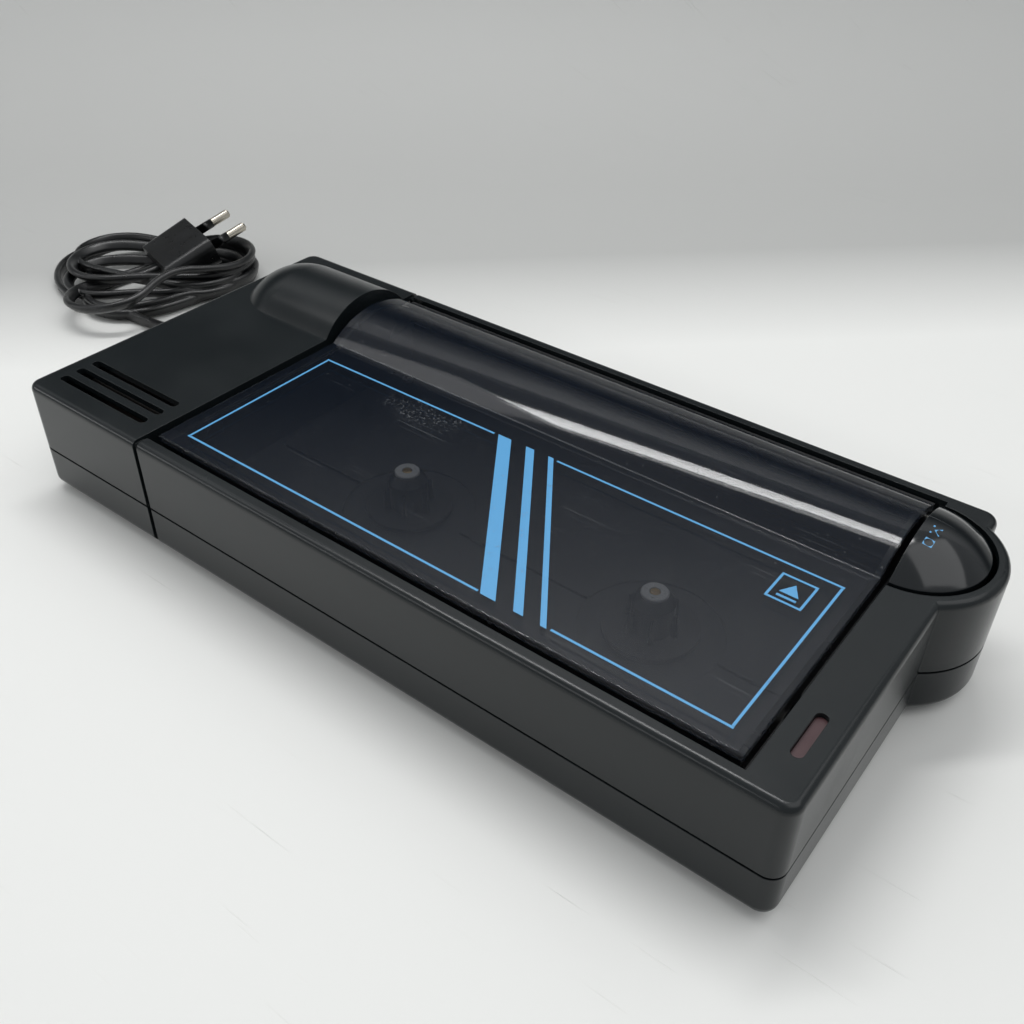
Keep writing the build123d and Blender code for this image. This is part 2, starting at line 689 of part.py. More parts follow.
with BuildPart() as cassette_tray:
    extrude(oblong(deck_under_z, tray_x0, tray_x1, bay_y0 - bay_wall, bay_y1 + bay_wall),
            amount=skirt_z - deck_under_z)
    extrude(oblong(deck_z, bay_x0, bay_x1, bay_y0, bay_y1), amount=skirt_z, mode=Mode.SUBTRACT)
    extrude(discs(deck_z - well_depth, spindle_spots, well_radius), amount=well_depth, mode=Mode.SUBTRACT)
    # Ribs that place the cassette, level with the two spindles
    for x0, x1 in ((bay_x0 + locating_rib_inset, supply_x - well_radius),
                   (supply_x + well_radius, takeup_x - well_radius),
                   (takeup_x + well_radius, bay_x1 - locating_rib_inset)):
        extrude(oblong(deck_z, x0, x1, spindle_y - locating_rib_width / 2, spindle_y + locating_rib_width / 2),
                amount=locating_rib_height)
    extrude(discs(deck_under_z, spindle_spots, barrel_radius + barrel_play), amount=deck_thickness,
            mode=Mode.SUBTRACT)
    extrude(discs(deck_under_z, tray_screw_spots, small_screw_radius + 2 * screw_play),
            amount=deck_thickness, mode=Mode.SUBTRACT)
    # Slot through which the latch slider reaches the lid's catch
    extrude(oblong(slider_z - slider_slot_play, bay_x1, tray_x1, nose_y - slider_slot_play,
                   nose_y + nose_length + button_travel + slider_slot_play),
            amount=slider_thickness + 2 * slider_slot_play, mode=Mode.SUBTRACT)
keep(cassette_tray.part, "cassette_tray")

keep(screws(tray_screw_spots, deck_z, deck_thickness + small_screw_grip - hole_end, small_screw_radius,
            small_head_radius, small_head_height), "tray_screws")

# ======== Lid ========

# Smoked window: a flat front panel and a crowned back in one moulding.
with BuildPart() as lid_window:
    with BuildSketch(Plane.YZ.offset(lid_x0)):
        with Locations((crown_y, top_z + lid_rise - crown_radius(lid_rise))):
            Circle(crown_radius(lid_rise))
            Circle(crown_radius(lid_rise) - lid_thickness, mode=Mode.SUBTRACT)
        with Locations((window_y1, window_z)):
            Rectangle(window_y1 - lid_y0, 2 * lid_rise, align=(Align.MAX, Align.MIN), mode=Mode.INTERSECT)
        with Locations((crown_y - crown_half_width, window_z)):
            Rectangle(crown_y - crown_half_width - lid_y0, lid_thickness, align=(Align.MAX, Align.MIN))
    extrude(amount=lid_x1 - lid_x0)
    fillet(lid_window.edges().filter_by(Axis.X).group_by(Axis.Y)[0].sort_by(Axis.Z)[-1], lid_edge_radius)
keep(lid_window.part, "lid_window")

# Black frame under the window: side and front walls, hinge barrel and the catch.
with BuildPart() as lid_frame:
    for x0 in (frame_x0, frame_x1 - frame_wall):
        extrude(across(x0, [(frame_y0, frame_z), (hinge_y, frame_z), (hinge_y, window_z), (frame_y0, window_z)]),
                amount=frame_wall)
        extrude(crown_section(x0, lid_rise, window_z - cut, lid_thickness + seat_gap), amount=frame_wall)
    extrude(oblong(frame_z, frame_x0, frame_x1, frame_y0, frame_y0 + frame_wall), amount=frame_depth)
    # Back bar and hinge barrel
    extrude(across(frame_x0, [(window_y1 + seat_gap, hinge_z), (frame_y1, hinge_z),
                              (frame_y1, top_z), (window_y1 + seat_gap, top_z)]), amount=frame_x1 - frame_x0)
    fillet(lid_frame.edges().filter_by(Axis.X).group_by(Axis.Z)[-1].sort_by(Axis.Y)[-1], frame_edge_radius)
    extrude(ring_across(frame_x0, hinge_y, hinge_z, hinge_barrel_radius), amount=frame_x1 - frame_x0)
    for x0, reach in ((frame_x0, hinge_pin_grip), (frame_x1, -hinge_pin_grip)):
        extrude(ring_across(x0, hinge_y, hinge_z, hinge_pin_radius + running_clearance), amount=reach,
                mode=Mode.SUBTRACT)
    # Catch: a tab with a foot that the latch slider holds
    extrude(oblong(catch_z, frame_x1 - frame_wall, frame_x1, catch_y, catch_y + catch_length),
            amount=frame_z - catch_z)
    extrude(oblong(catch_z, frame_x1, frame_x1 + catch_reach, catch_y, catch_y + catch_length),
            amount=catch_thickness)
keep(lid_frame.part, "lid_frame")

# Pins on which the lid turns: pressed into the bay's rim and its lug, free in the lid's barrel.
with BuildPart() as hinge_pins:
    pin_end = hinge_pin_grip - drive_gap
    extrude(ring_across(tray_x0, hinge_y, hinge_z, hinge_pin_radius), amount=frame_x0 + pin_end - tray_x0)
    extrude(ring_across(lug_x0 + hinge_lug, hinge_y, hinge_z, hinge_pin_radius),
            amount=frame_x1 - pin_end - lug_x0 - hinge_lug)
keep(hinge_pins.part, "hinge_pins")

# Wire spring about the left pin, one leg against the back of the bay, one under the lid's side wall.
with BuildPart() as lid_spring:
    coil_x = bay_x0 + lid_spring_wire
    coil_length = lid_spring_turns * lid_spring_pitch
    with BuildLine() as coil_path:
        coil = Helix(lid_spring_pitch, coil_length, lid_spring_radius, center=(coil_x, hinge_y, hinge_z),
                     direction=(1, 0, 0))
        Line(coil @ 0 - (coil % 0) * lid_spring_fixed_leg, coil @ 0)
        Line(coil @ 1, coil @ 1 + (coil % 1) * lid_spring_free_leg)
    wire_path = coil_path.wires()[0]
    with BuildSketch(Plane(wire_path @ 0, z_dir=wire_path % 0)):
        RegularPolygon(lid_spring_wire / 2, 6)
    sweep(path=wire_path)
keep(lid_spring.part, "lid_spring")

# ======== Spindles and drive ========

with BuildPart() as spindle_axles:
    extrude(discs(floor_z - axle_seat, spindle_spots, axle_radius),
            amount=hub_top_z + cap_thickness + axle_tip - floor_z + axle_seat)
    chamfer(spindle_axles.edges().group_by(Axis.Z)[-1], axle_chamfer)
keep(spindle_axles.part, "spindle_axles")

for name, spot_x, barrel_z in (("supply", supply_x, gear_z), ("takeup", takeup_x, deck_under_z)):
    bore = axle_radius + bore_clearance
    with BuildPart() as spindle:
        revolve(turned(spot_x, spindle_y, [
            (bore, barrel_z), (barrel_radius, barrel_z), (barrel_radius, turntable_z),
            (turntable_radius, turntable_z), (turntable_radius, hub_z), (hub_radius, hub_z),
            (hub_radius, hub_top_z - hub_nose), (hub_nose_radius, hub_top_z), (bore, hub_top_z)]),
            upright(spot_x, spindle_y))
        # Driving fins that reach into the cassette's reel
        for fin in range(fin_count):
            turn = 360 / fin_count * fin
            with BuildSketch(Plane.XY.offset(hub_z)):
                with Locations(Location((spot_x, spindle_y, 0), turn)):
                    with Locations(((hub_radius - fin_root + fin_reach) / 2, 0)):
                        Rectangle(fin_reach - hub_radius + fin_root, fin_width)
            extrude(amount=fin_height, taper=fin_taper)
    keep(spindle.part, f"{name}_spindle")
    with BuildPart() as hub_cap:
        revolve(turned(spot_x, spindle_y, [
            (axle_radius + cap_play, hub_top_z), (cap_radius, hub_top_z),
            (cap_radius, hub_top_z + cap_thickness - cap_chamfer),
            (cap_radius - cap_chamfer, hub_top_z + cap_thickness),
            (axle_radius + cap_play, hub_top_z + cap_thickness)]), upright(spot_x, spindle_y))
    keep(hub_cap.part, f"{name}_cap")

with BuildPart() as takeup_felt_washer:
    extrude(discs(deck_z - well_depth, spindle_spots[1:], felt_radius),
            amount=turntable_z - drive_gap - deck_z + well_depth)
    extrude(discs(deck_z - well_depth, spindle_spots[1:], barrel_radius + barrel_play),
            amount=turntable_z - deck_z + well_depth, mode=Mode.SUBTRACT)
keep(takeup_felt_washer.part, "takeup_felt_washer")

with BuildPart() as supply_gear:
    extrude(gear_outline(gear_z, supply_x, spindle_y, gear_teeth, idler_angle), amount=gear_width)
    extrude(discs(gear_z, spindle_spots[:1], barrel_radius), amount=gear_width, mode=Mode.SUBTRACT)
keep(supply_gear.part, "supply_gear")

idler_spots = [(idler_x, idler_y)]
with BuildPart() as idler_wheel:
    extrude(discs(pulley_z, idler_spots, idler_belt_radius + pulley_lip), amount=pulley_top_z - pulley_z)
    with BuildSketch(Plane.XY.offset(pulley_z + pulley_flange)):
        with Locations(*idler_spots):
            Circle(idler_belt_radius + 2 * pulley_lip)
            Circle(idler_belt_radius - belt_width / 2 - belt_play, mode=Mode.SUBTRACT)
    extrude(amount=pulley_top_z - pulley_z - 2 * pulley_flange, mode=Mode.SUBTRACT)
    extrude(gear_outline(pulley_top_z, idler_x, idler_y, pinion_teeth, idler_angle + 180 + 180 / pinion_teeth),
            amount=gear_top_z - pulley_top_z)
    extrude(discs(pulley_z, idler_spots, idler_axle_radius + bore_clearance), amount=gear_top_z - pulley_z,
            mode=Mode.SUBTRACT)
keep(idler_wheel.part, "idler_wheel")

with BuildPart() as idler_axle:
    extrude(discs(floor_z - axle_seat, idler_spots, idler_axle_radius),
            amount=deck_under_z - axle_end_gap - floor_z + axle_seat)
keep(idler_axle.part, "idler_axle")

with BuildPart() as drive_belt:
    extrude(belt_outline(belt_z, belt_width / 2), amount=belt_width)
    extrude(belt_outline(belt_z, -belt_width / 2), amount=belt_width, mode=Mode.SUBTRACT)
keep(drive_belt.part, "drive_belt")

# ======== Motor ========

hump_radius = crown_radius(moulded_rise)
with BuildPart() as motor_can:
    can_top_z = (top_z + moulded_rise - hump_radius + sqrt((hump_radius - wall)**2 - motor_radius**2)
                 - motor_headroom)
    revolve(turned(motor_x, motor_y, [
        (motor_shaft_radius + running_clearance, mount_z), (motor_boss_radius, mount_z),
        (motor_boss_radius, motor_z), (motor_radius - motor_edge, motor_z), (motor_radius, motor_z + motor_edge),
        (motor_radius, can_top_z - motor_edge), (motor_radius - motor_edge, can_top_z),
        (motor_boss_radius, can_top_z), (motor_boss_radius, can_top_z + motor_boss_height),
        (0, can_top_z + motor_boss_height), (0, motor_z + motor_shaft_grip + hole_end),
        (motor_shaft_radius + running_clearance, motor_z + motor_shaft_grip + hole_end)]),
        upright(motor_x, motor_y))
keep(motor_can.part, "motor_can")

with BuildPart() as motor_mount:
    with BuildSketch(Plane.XY.offset(mount_z)):
        with Locations(*mount_post_spots):
            Circle(boss_radius + mount_ear)
        with BuildLine():
            Polyline(*mount_post_spots, close=True)
        make_face()
        with Locations((motor_x, motor_y)):
            Circle(motor_radius)
            Circle(motor_boss_radius + mount_play, mode=Mode.SUBTRACT)
        with Locations(*mount_post_spots):
            Circle(small_screw_radius + 2 * screw_play, mode=Mode.SUBTRACT)
    extrude(amount=mount_plate)
keep(motor_mount.part, "motor_mount")
keep(screws(mount_post_spots, motor_z, mount_plate + small_screw_grip - hole_end, small_screw_radius,
            small_head_radius, small_head_height), "motor_screws")

with BuildPart() as motor_shaft:
    extrude(discs(pulley_z, [(motor_x, motor_y)], motor_shaft_radius),
            amount=motor_z + motor_shaft_grip - pulley_z)
keep(motor_shaft.part, "motor_shaft")

with BuildPart() as motor_pulley:
    flange_radius = motor_belt_radius + pulley_lip
    groove_floor = motor_belt_radius - belt_width / 2 - belt_play
    revolve(turned(motor_x, motor_y, [
        (motor_shaft_radius, pulley_z), (flange_radius, pulley_z), (flange_radius, pulley_z + pulley_flange),
        (groove_floor, pulley_z + pulley_flange), (groove_floor, pulley_top_z - pulley_flange),
        (flange_radius, pulley_top_z - pulley_flange), (flange_radius, pulley_top_z),
        (motor_boss_radius, pulley_top_z), (motor_boss_radius, pulley_top_z + motor_boss_height),
        (motor_shaft_radius, pulley_top_z + motor_boss_height)]), upright(motor_x, motor_y))
keep(motor_pulley.part, "motor_pulley")

# ======== Stop button and latch ========

# Hollow of the button, without its stem and the wall behind its flat face.
with BuildPart() as button_hollow:
    revolve(crown_section(button_x, button_rise, button_z - cut, button_wall, -1, crown_half_width - button_wall),
            upright(button_x, crown_y), 180)
    extrude(oblong(button_z - cut, button_x - cut, button_face_x + button_wall, front_y, back_y),
            amount=4 * button_skirt, mode=Mode.SUBTRACT)
    extrude(discs(button_z - cut, [(stem_x, crown_y)], button_stem_radius), amount=4 * button_skirt,
            mode=Mode.SUBTRACT)

with BuildPart() as stop_eject_button:
    revolve(crown_section(button_x, button_rise, button_z, side=-1), upright(button_x, crown_y), 180)
    fillet(stop_eject_button.edges().filter_by(GeomType.CIRCLE).group_by(Axis.Z)[1], button_edge_radius)
    extrude(oblong(button_z, button_x - cut, button_face_x, front_y, back_y), amount=4 * button_skirt,
            mode=Mode.SUBTRACT)
    add(button_hollow.part, mode=Mode.SUBTRACT)
    # Stem with the spring's collar
    extrude(discs(stem_z, [(stem_x, crown_y)], button_stem_radius), amount=button_z - stem_z)
    extrude(discs(collar_z, [(stem_x, crown_y)], stem_collar_radius), amount=stem_collar_thickness)
    # Leg beside the latch slider, with the peg that runs in its slanted slot
    leg_x0, leg_x1 = slider_x - 2 * cam_play - leg_thickness, slider_x - 2 * cam_play
    extrude(oblong(cam_z - leg_half_width, leg_x0, leg_x1, cam_y - leg_half_width, cam_y + leg_half_width),
            amount=top_z - cam_z + leg_half_width)
    extrude(ring_across(leg_x1, cam_y, cam_z, cam_peg_radius), amount=slider_width + 3 * cam_play)
keep(stop_eject_button.part, "stop_eject_button")

with BuildPart() as button_spring:
    with BuildLine() as coil_path:
        spring_length = collar_z - tower_z - spring_wire
        Helix(spring_length / spring_turns, spring_length, spring_radius,
              center=(stem_x, crown_y, tower_z + spring_wire / 2))
    with BuildSketch(Plane(coil_path.line @ 0, z_dir=coil_path.line % 0)):
        RegularPolygon(spring_wire / 2, 6)
    sweep(path=coil_path.line)
keep(button_spring.part, "button_spring")

# Slider with the nose that holds the lid's catch and the slanted slot that the button's peg drives.
with BuildPart() as latch_slider:
    cam_reach = button_travel + cam_peg_radius + cam_play + cam_wall
    slider_end_y, plate_top_z = cam_y + cam_reach - button_travel, cam_z + cam_head
    extrude(oblong(slider_z, slider_x, slider_x + slider_width, nose_y - slider_tail, slider_end_y),
            amount=slider_thickness)
    extrude(oblong(slider_z, frame_x1 + nose_gap, slider_x, nose_y, nose_y + nose_length),
            amount=slider_thickness)
    extrude(across(slider_x, [
        (cam_y - cam_reach, slider_z), (cam_y - cam_reach, cam_z - button_travel),
        (cam_y - button_travel, plate_top_z), (slider_end_y, plate_top_z), (slider_end_y, slider_z)]),
        amount=slider_width)
    with BuildSketch(Plane.YZ.offset(slider_x)):
        with Locations((cam_y - button_travel / 2, cam_z - button_travel / 2)):
            SlotCenterToCenter(button_travel * sqrt(2), 2 * (cam_peg_radius + cam_play), rotation=45)
    extrude(amount=slider_width, mode=Mode.SUBTRACT)
keep(latch_slider.part, "latch_slider")

with BuildPart() as start_switch:
    extrude(oblong(switch_z, slider_x, slider_x + switch_width, switch_y - switch_length, switch_y),
            amount=switch_height)
    # Plunger, resting just short of the slider's front end
    with BuildSketch(Plane.XZ.offset(-switch_y)):
        with Locations((slider_x + slider_width / 2, slider_z + slider_thickness / 2)):
            Circle(plunger_radius)
    extrude(amount=switch_y - nose_y + slider_tail + drive_gap)
keep(start_switch.part, "start_switch")

# ======== Power block ========

# Laminated core with its two windows, the winding round the middle limb, and the strap over it.
limb = core_width / 6
window_height = core_height - 2 * limb


def block_piece(level, height, middle, half_width, half_depth, mode=Mode.ADD):
    """A block of the transformer: middle is its distance to the right of the core's middle."""
    extrude(oblong(level, block_mid_x + middle - half_width, block_mid_x + middle + half_width,
                   core_y - half_depth, core_y + half_depth), amount=height, mode=mode)


with BuildPart() as transformer_core:
    block_piece(core_z, core_height, 0, core_width / 2, core_stack / 2)
    for side in (-1, 1):
        block_piece(core_z + limb, window_height, side * 1.5 * limb, limb / 2, core_stack / 2, Mode.SUBTRACT)
keep(transformer_core.part, "transformer_core")

with BuildPart() as transformer_winding:
    with BuildSketch(Plane.XY.offset(core_z + limb)):
        with Locations((block_mid_x, core_y)):
            RectangleRounded(4 * limb - 2 * seat_gap, core_stack + 2 * winding_overhang, winding_corner)
            Rectangle(2 * limb, core_stack, mode=Mode.SUBTRACT)
    extrude(amount=window_height)
keep(transformer_winding.part, "transformer_winding")

with BuildPart() as transformer_bracket:
    strap_x = core_width / 2 + strap_thickness
    block_piece(core_z, core_height + strap_thickness, 0, strap_x + strap_foot, strap_width / 2)
    for side in (-1, 1):
        block_piece(core_z + strap_thickness, core_height, side * (strap_x + strap_foot / 2), strap_foot / 2,
                    strap_width / 2, Mode.SUBTRACT)
    block_piece(core_z, core_height, 0, core_width / 2, strap_width / 2, Mode.SUBTRACT)
    extrude(discs(core_z, ear_spots, small_screw_radius + 2 * screw_play), amount=strap_thickness,
            mode=Mode.SUBTRACT)
keep(transformer_bracket.part, "transformer_bracket")
keep(screws(ear_spots, core_z + strap_thickness, strap_thickness + core_pad, small_screw_radius,
            small_head_radius, small_head_height), "transformer_screws")

with BuildPart() as power_board:
    extrude(oblong(board_z, board_x - board_length / 2, board_x + board_length / 2,
                   board_y - board_depth / 2, board_y + board_depth / 2), amount=board_thickness)
    extrude(discs(board_z, board_post_spots, small_screw_radius + 2 * screw_play), amount=board_thickness,
            mode=Mode.SUBTRACT)
keep(power_board.part, "power_board")
board_top_z = board_z + board_thickness
keep(screws(board_post_spots, board_top_z, board_thickness + small_screw_grip - hole_end, small_screw_radius,
            small_head_radius, small_head_height), "board_screws")

# Lying electrolytic capacitor with its two leads bent down into the board
with BuildPart() as smoothing_capacitor:
    capacitor_x, capacitor_y = board_x - capacitor_length / 2, board_y + capacitor_back
    extrude(ring_across(capacitor_x, capacitor_y, board_top_z + capacitor_radius, capacitor_radius),
            amount=capacitor_length)
    chamfer(smoothing_capacitor.edges().filter_by(GeomType.CIRCLE), capacitor_edge)
    lead_x = capacitor_x + capacitor_length
    for lead_y in (capacitor_y - lead_spacing / 2, capacitor_y + lead_spacing / 2):
        extrude(oblong(board_top_z, lead_x, lead_x + lead_reach, lead_y - lead_radius, lead_y + lead_radius),
                amount=capacitor_radius)
keep(smoothing_capacitor.part, "smoothing_capacitor")

with BuildPart() as rectifier_diodes:
    diode_z = board_top_z + diode_radius
    for side in (-1, 1):
        for row in (-1, 1):
            diode_x = board_x + side * diode_spacing / 2
            diode_y = board_y - diode_front + row * diode_pitch / 2
            extrude(ring_across(diode_x - diode_length / 2, diode_y, diode_z, diode_radius), amount=diode_length)
            extrude(ring_across(diode_x - diode_length, diode_y, diode_z, lead_radius), amount=2 * diode_length)
            for end_x in (diode_x - diode_length, diode_x + diode_length):
                extrude(oblong(board_top_z, end_x - diode_leg, end_x + diode_leg, diode_y - diode_leg,
                               diode_y + diode_leg), amount=diode_radius + diode_leg)
keep(rectifier_diodes.part, "rectifier_diodes")

with BuildPart() as fuse:
    fuse_x, fuse_y = board_x - fuse_length / 2, board_y - fuse_front
    fuse_z = board_top_z + fuse_radius + clip_wall
    extrude(ring_across(fuse_x, fuse_y, fuse_z, fuse_glass_radius), amount=fuse_length)
    for cap_x in (fuse_x, fuse_x + fuse_length - fuse_cap):
        extrude(ring_across(cap_x, fuse_y, fuse_z, fuse_radius), amount=fuse_cap)
keep(fuse.part, "fuse")

with BuildPart() as fuse_clips:
    for clip_x in (fuse_x + clip_inset, fuse_x + fuse_length - clip_inset - clip_width):
        extrude(oblong(board_top_z, clip_x, clip_x + clip_width, fuse_y - fuse_radius - clip_wall,
                       fuse_y + fuse_radius + clip_wall), amount=2 * fuse_radius)
        extrude(ring_across(clip_x, fuse_y, fuse_z, fuse_radius), amount=clip_width, mode=Mode.SUBTRACT)
        extrude(oblong(fuse_z, clip_x, clip_x + clip_width, fuse_y - fuse_radius + clip_lip,
                       fuse_y + fuse_radius - clip_lip), amount=2 * fuse_radius, mode=Mode.SUBTRACT)
keep(fuse_clips.part, "fuse_clips")

# ======== Indicator lamp ========

with BuildPart() as indicator_lens:
    extrude(stadium(lens_flange_z, lens_flange), amount=lens_flange)
    extrude(stadium(lens_flange_z, -lens_play / 2), amount=lens_top_z - lens_flange_z)
keep(indicator_lens.part, "indicator_lens")

with BuildPart() as indicator_board:
    board_reach = lamp_post_spacing / 2 + lamp_post_radius
    extrude(oblong(lamp_board_z, slot_x - lamp_board_width / 2, slot_x + lamp_board_width / 2,
                   slot_y - board_reach, slot_y + board_reach), amount=board_thickness)
    extrude(discs(lamp_board_z, lamp_post_spots, small_screw_radius + 2 * screw_play), amount=board_thickness,
            mode=Mode.SUBTRACT)
keep(indicator_board.part, "indicator_board")
keep(screws(lamp_post_spots, lamp_board_z, board_thickness + small_screw_grip - hole_end, small_screw_radius,
            small_head_radius, small_head_height, upward=True), "indicator_screws")

with BuildPart() as indicator_led:
    extrude(discs(lamp_board_top_z, [(slot_x, slot_y)], led_radius + led_rim), amount=led_rim_height)
    extrude(discs(lamp_board_top_z, [(slot_x, slot_y)], led_radius),
            amount=lens_flange_z - drive_gap - lamp_board_top_z)
    fillet(indicator_led.edges().group_by(Axis.Z)[-1], led_dome)
keep(indicator_led.part, "indicator_led")

# ======== Mains lead ========

# Grommet in the left wall with its tapered boot
with BuildPart() as strain_relief:
    with BuildSketch(Plane(origin=(0, cord_y, cord_z), x_dir=(1, 0, 0), z_dir=(0, -1, 0))):
        with BuildLine():
            inner_x, collar_radius = left_x + wall, grommet_hole + grommet_step
            Polyline((inner_x + grommet_lip, cord_radius), (inner_x + grommet_lip, collar_radius),
                     (inner_x, collar_radius), (inner_x, grommet_hole), (left_x, grommet_hole),
                     (left_x, collar_radius), (left_x - boot_collar, collar_radius),
                     (left_x - boot_collar, grommet_hole), (left_x - grommet_length, cord_radius + boot_wall),
                     (left_x - grommet_length, cord_radius), close=True)
        make_face()
    revolve(axis=Axis((0, cord_y, cord_z), (1, 0, 0)))
keep(strain_relief.part, "strain_relief")


def tube(route, radius, name):
    """A lead along a route of points: straight runs joined by arcs as large as the runs allow."""
    points = [Vector(*point) for point in route]
    bends = []
    for before, at, after in zip(points, points[1:], points[2:]):
        turn = radians((at - before).get_angle(after - at))
        bends.append(run_share * min((at - before).length, (after - at).length) / tan(turn / 2))
    with BuildPart() as lead:
        with BuildLine() as path:
            FilletPolyline(*points, radius=bends)
        middle = path.wires()[0]
        with BuildSketch(Plane(middle @ 0, z_dir=middle % 0)):
            Circle(radius)
        sweep(path=middle)
    keep(lead.part, name)


def beside(points, level):
    """Points of the lead, given from its exit in the case's left end."""
    return [(left_x + x, cord_y + y, level) for x, y in points]


lay_z = cord_radius + lay_gap
tube(beside([(wall, 0), (-30, 0)], cord_z) + beside([(-62, -1.75), (-81, -1.75)], lay_z), cord_radius,
     "mains_cord")

# Loose loop at the left end of the bundle
tube(beside([(-128, 42.75), (-146, 38.75), (-158, 27.75), (-160, 13.75), (-151, -0.25), (-135, -8.25),
             (-116, -10.25), (-102, -8.25)], lay_z), cord_radius, "cord_loop")

# Flat two-pin plug lying on the bundle, its pins away from the case
plug_frame = Plane(origin=beside([(-93.1, 50.15)], plug_height)[0], x_dir=(0.956, -0.295, 0.0),
                   z_dir=(0.279, 0.905, 0.322))
with BuildPart() as plug_body:
    with BuildSketch(plug_frame):
        RectangleRounded(plug_width, plug_thickness, plug_corner)
    extrude(amount=-plug_length, taper=plug_taper)
keep(plug_body.part, "plug_body")

with BuildPart() as plug_pins:
    with BuildSketch(plug_frame):
        with Locations((-pin_spacing / 2, 0), (pin_spacing / 2, 0)):
            Circle(pin_radius)
    extrude(amount=pin_length)
    chamfer(plug_pins.edges().sort_by(Axis.Z)[-2:], pin_chamfer)
keep(plug_pins.part, "plug_pins")

# Outer shape of the folded bundle, with the plug's bed in it
with BuildPart() as cord_hank:
    with BuildSketch():
        with BuildLine():
            Polyline(*beside([(-111, -11.25), (-93, -15.25), (-81, -10.25), (-81, 6.75), (-59, 19.75),
                              (-63, 49.75), (-80, 65.75), (-120, 55.75), (-150, 29.75), (-143, 12.75)], 0),
                     close=True)
        make_face()
    extrude(amount=hank_height)
    chamfer(cord_hank.faces().sort_by(Axis.Z)[-1].edges(), hank_edge)
    add(plug_body.part, mode=Mode.SUBTRACT)
    add(plug_pins.part, mode=Mode.SUBTRACT)
keep(cord_hank.part, "cord_hank")
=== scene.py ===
from math import cos, pi, radians, sin, sqrt

import bpy
from mathutils import Matrix, Vector


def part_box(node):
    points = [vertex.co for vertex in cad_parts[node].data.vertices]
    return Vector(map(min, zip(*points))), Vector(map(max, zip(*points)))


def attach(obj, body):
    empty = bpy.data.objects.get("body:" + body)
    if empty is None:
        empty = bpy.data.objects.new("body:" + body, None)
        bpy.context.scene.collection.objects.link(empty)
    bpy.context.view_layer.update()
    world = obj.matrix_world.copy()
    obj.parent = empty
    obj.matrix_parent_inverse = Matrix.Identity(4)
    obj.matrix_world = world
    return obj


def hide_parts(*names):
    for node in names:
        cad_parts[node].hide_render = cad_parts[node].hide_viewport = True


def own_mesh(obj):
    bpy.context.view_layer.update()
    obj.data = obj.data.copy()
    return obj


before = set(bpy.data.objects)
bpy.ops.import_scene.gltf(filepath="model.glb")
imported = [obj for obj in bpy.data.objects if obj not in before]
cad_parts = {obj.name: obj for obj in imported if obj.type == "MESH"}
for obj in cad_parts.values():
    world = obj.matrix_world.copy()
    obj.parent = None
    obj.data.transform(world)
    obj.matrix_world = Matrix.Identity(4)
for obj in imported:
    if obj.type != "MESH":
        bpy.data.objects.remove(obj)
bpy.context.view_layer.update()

scene = bpy.context.scene
scene.view_settings.view_transform = "Standard"

# ======== Camera ========
# A hand-held view from the front right, looking down along the case. Place and turn were solved
# from the case's edges, in metres and degrees.

camera = bpy.data.objects.new("camera", bpy.data.cameras.new("camera"))
scene.collection.objects.link(camera)
camera.location = (0.16949, -0.21129, 0.22791)
camera.rotation_euler = [radians(turn) for turn in (52.2154, -0.6198, 37.7270)]
camera.data.sensor_width = 36.0
camera.data.lens = 37.96
camera.data.clip_start = 0.01
scene.camera = camera

# ======== Mains lead ========
# Flat twin lead in black vinyl, 1.5 m long. From the case it sweeps round a loose loop, standing on
# its edge, then lies in five folded turns; the last run crosses them and comes round into the plug.
# Its places are in millimetres and become metres where they join the route.

lead_width, lead_thickness = 0.0052, 0.0032
exit_point = (-0.166, 0.03025, 0.010)
boot_y, boot_height = exit_point[1:]
lay_height = 2.7
bundle = Vector((-0.240, 0.055))
bundle_along, bundle_across = Vector((0.6, 0.8)), Vector((-0.8, 0.6))


def in_bundle(along, across, height):
    """A point of the bundle, given in millimetres along, across and above the table."""
    spot = bundle + (along * bundle_along + across * bundle_across) / 1000
    return (spot.x, spot.y, height / 1000)


def fold(along, across, radius, first, last, steps):
    """Points round one fold of the lead, between two directions in degrees."""
    turns = [radians(first + (last - first) * step / steps) for step in range(steps + 1)]
    return [(along + radius * cos(turn), across + radius * sin(turn)) for turn in turns]


def left_end(kind):
    """Left end of a turn: one fold at the front, the middle or the rear, or wide over both."""
    if kind == "front":
        return [(10, -23.5), (-3, -29)] + fold(-13, -10, 19.6, 252, 108, 4) + [(-6, 16), (8, 21)]
    if kind == "middle":
        return [(8, -16), (-5, -12)] + fold(-18, 8, 19.6, 255, 105, 4) + [(-9, 25), (5, 21)]
    if kind == "rear":
        return [(9, -17), (-4, -8)] + fold(-18, 26, 19.3, 242, 62, 4) + [(4, 36)]
    return ([(11, -21), (-2, -27)] + fold(-14, -10, 19.5, 255, 175, 2) + [(-30, 8)]
            + fold(-16, 25, 19.5, 175, 75, 2) + [(3, 38)])


# The route's points, each with the lean of the flat lead there: 0 lies flat, 90 stands on its edge
route = []


def lay(points, lean):
    """Add a stretch of the route."""
    route.extend((place, lean) for place in points)


# Out of the boot and down to the table, then round the loose loop and into the bundle
lay([(x, boot_y, boot_height) for x in (-0.1416, -0.160, -0.174)], 0)
lay([(-0.190, 0.0294, 0.0062)], 30)
lay([(x / 1000, y / 1000, lay_height / 1000) for x, y in (
    (-206, 28.5), (-225, 27.5), (-241, 23), (-257, 21), (-273, 24), (-286, 31.5), (-295, 43),
    (-297, 57), (-293.5, 70.5), (-284, 81), (-271, 87.5), (-257.4, 91.8))], 84)
lay([in_bundle(along, across, 2.9) for along, across in fold(24, 5, 20, 50, -90, 4)], 75)

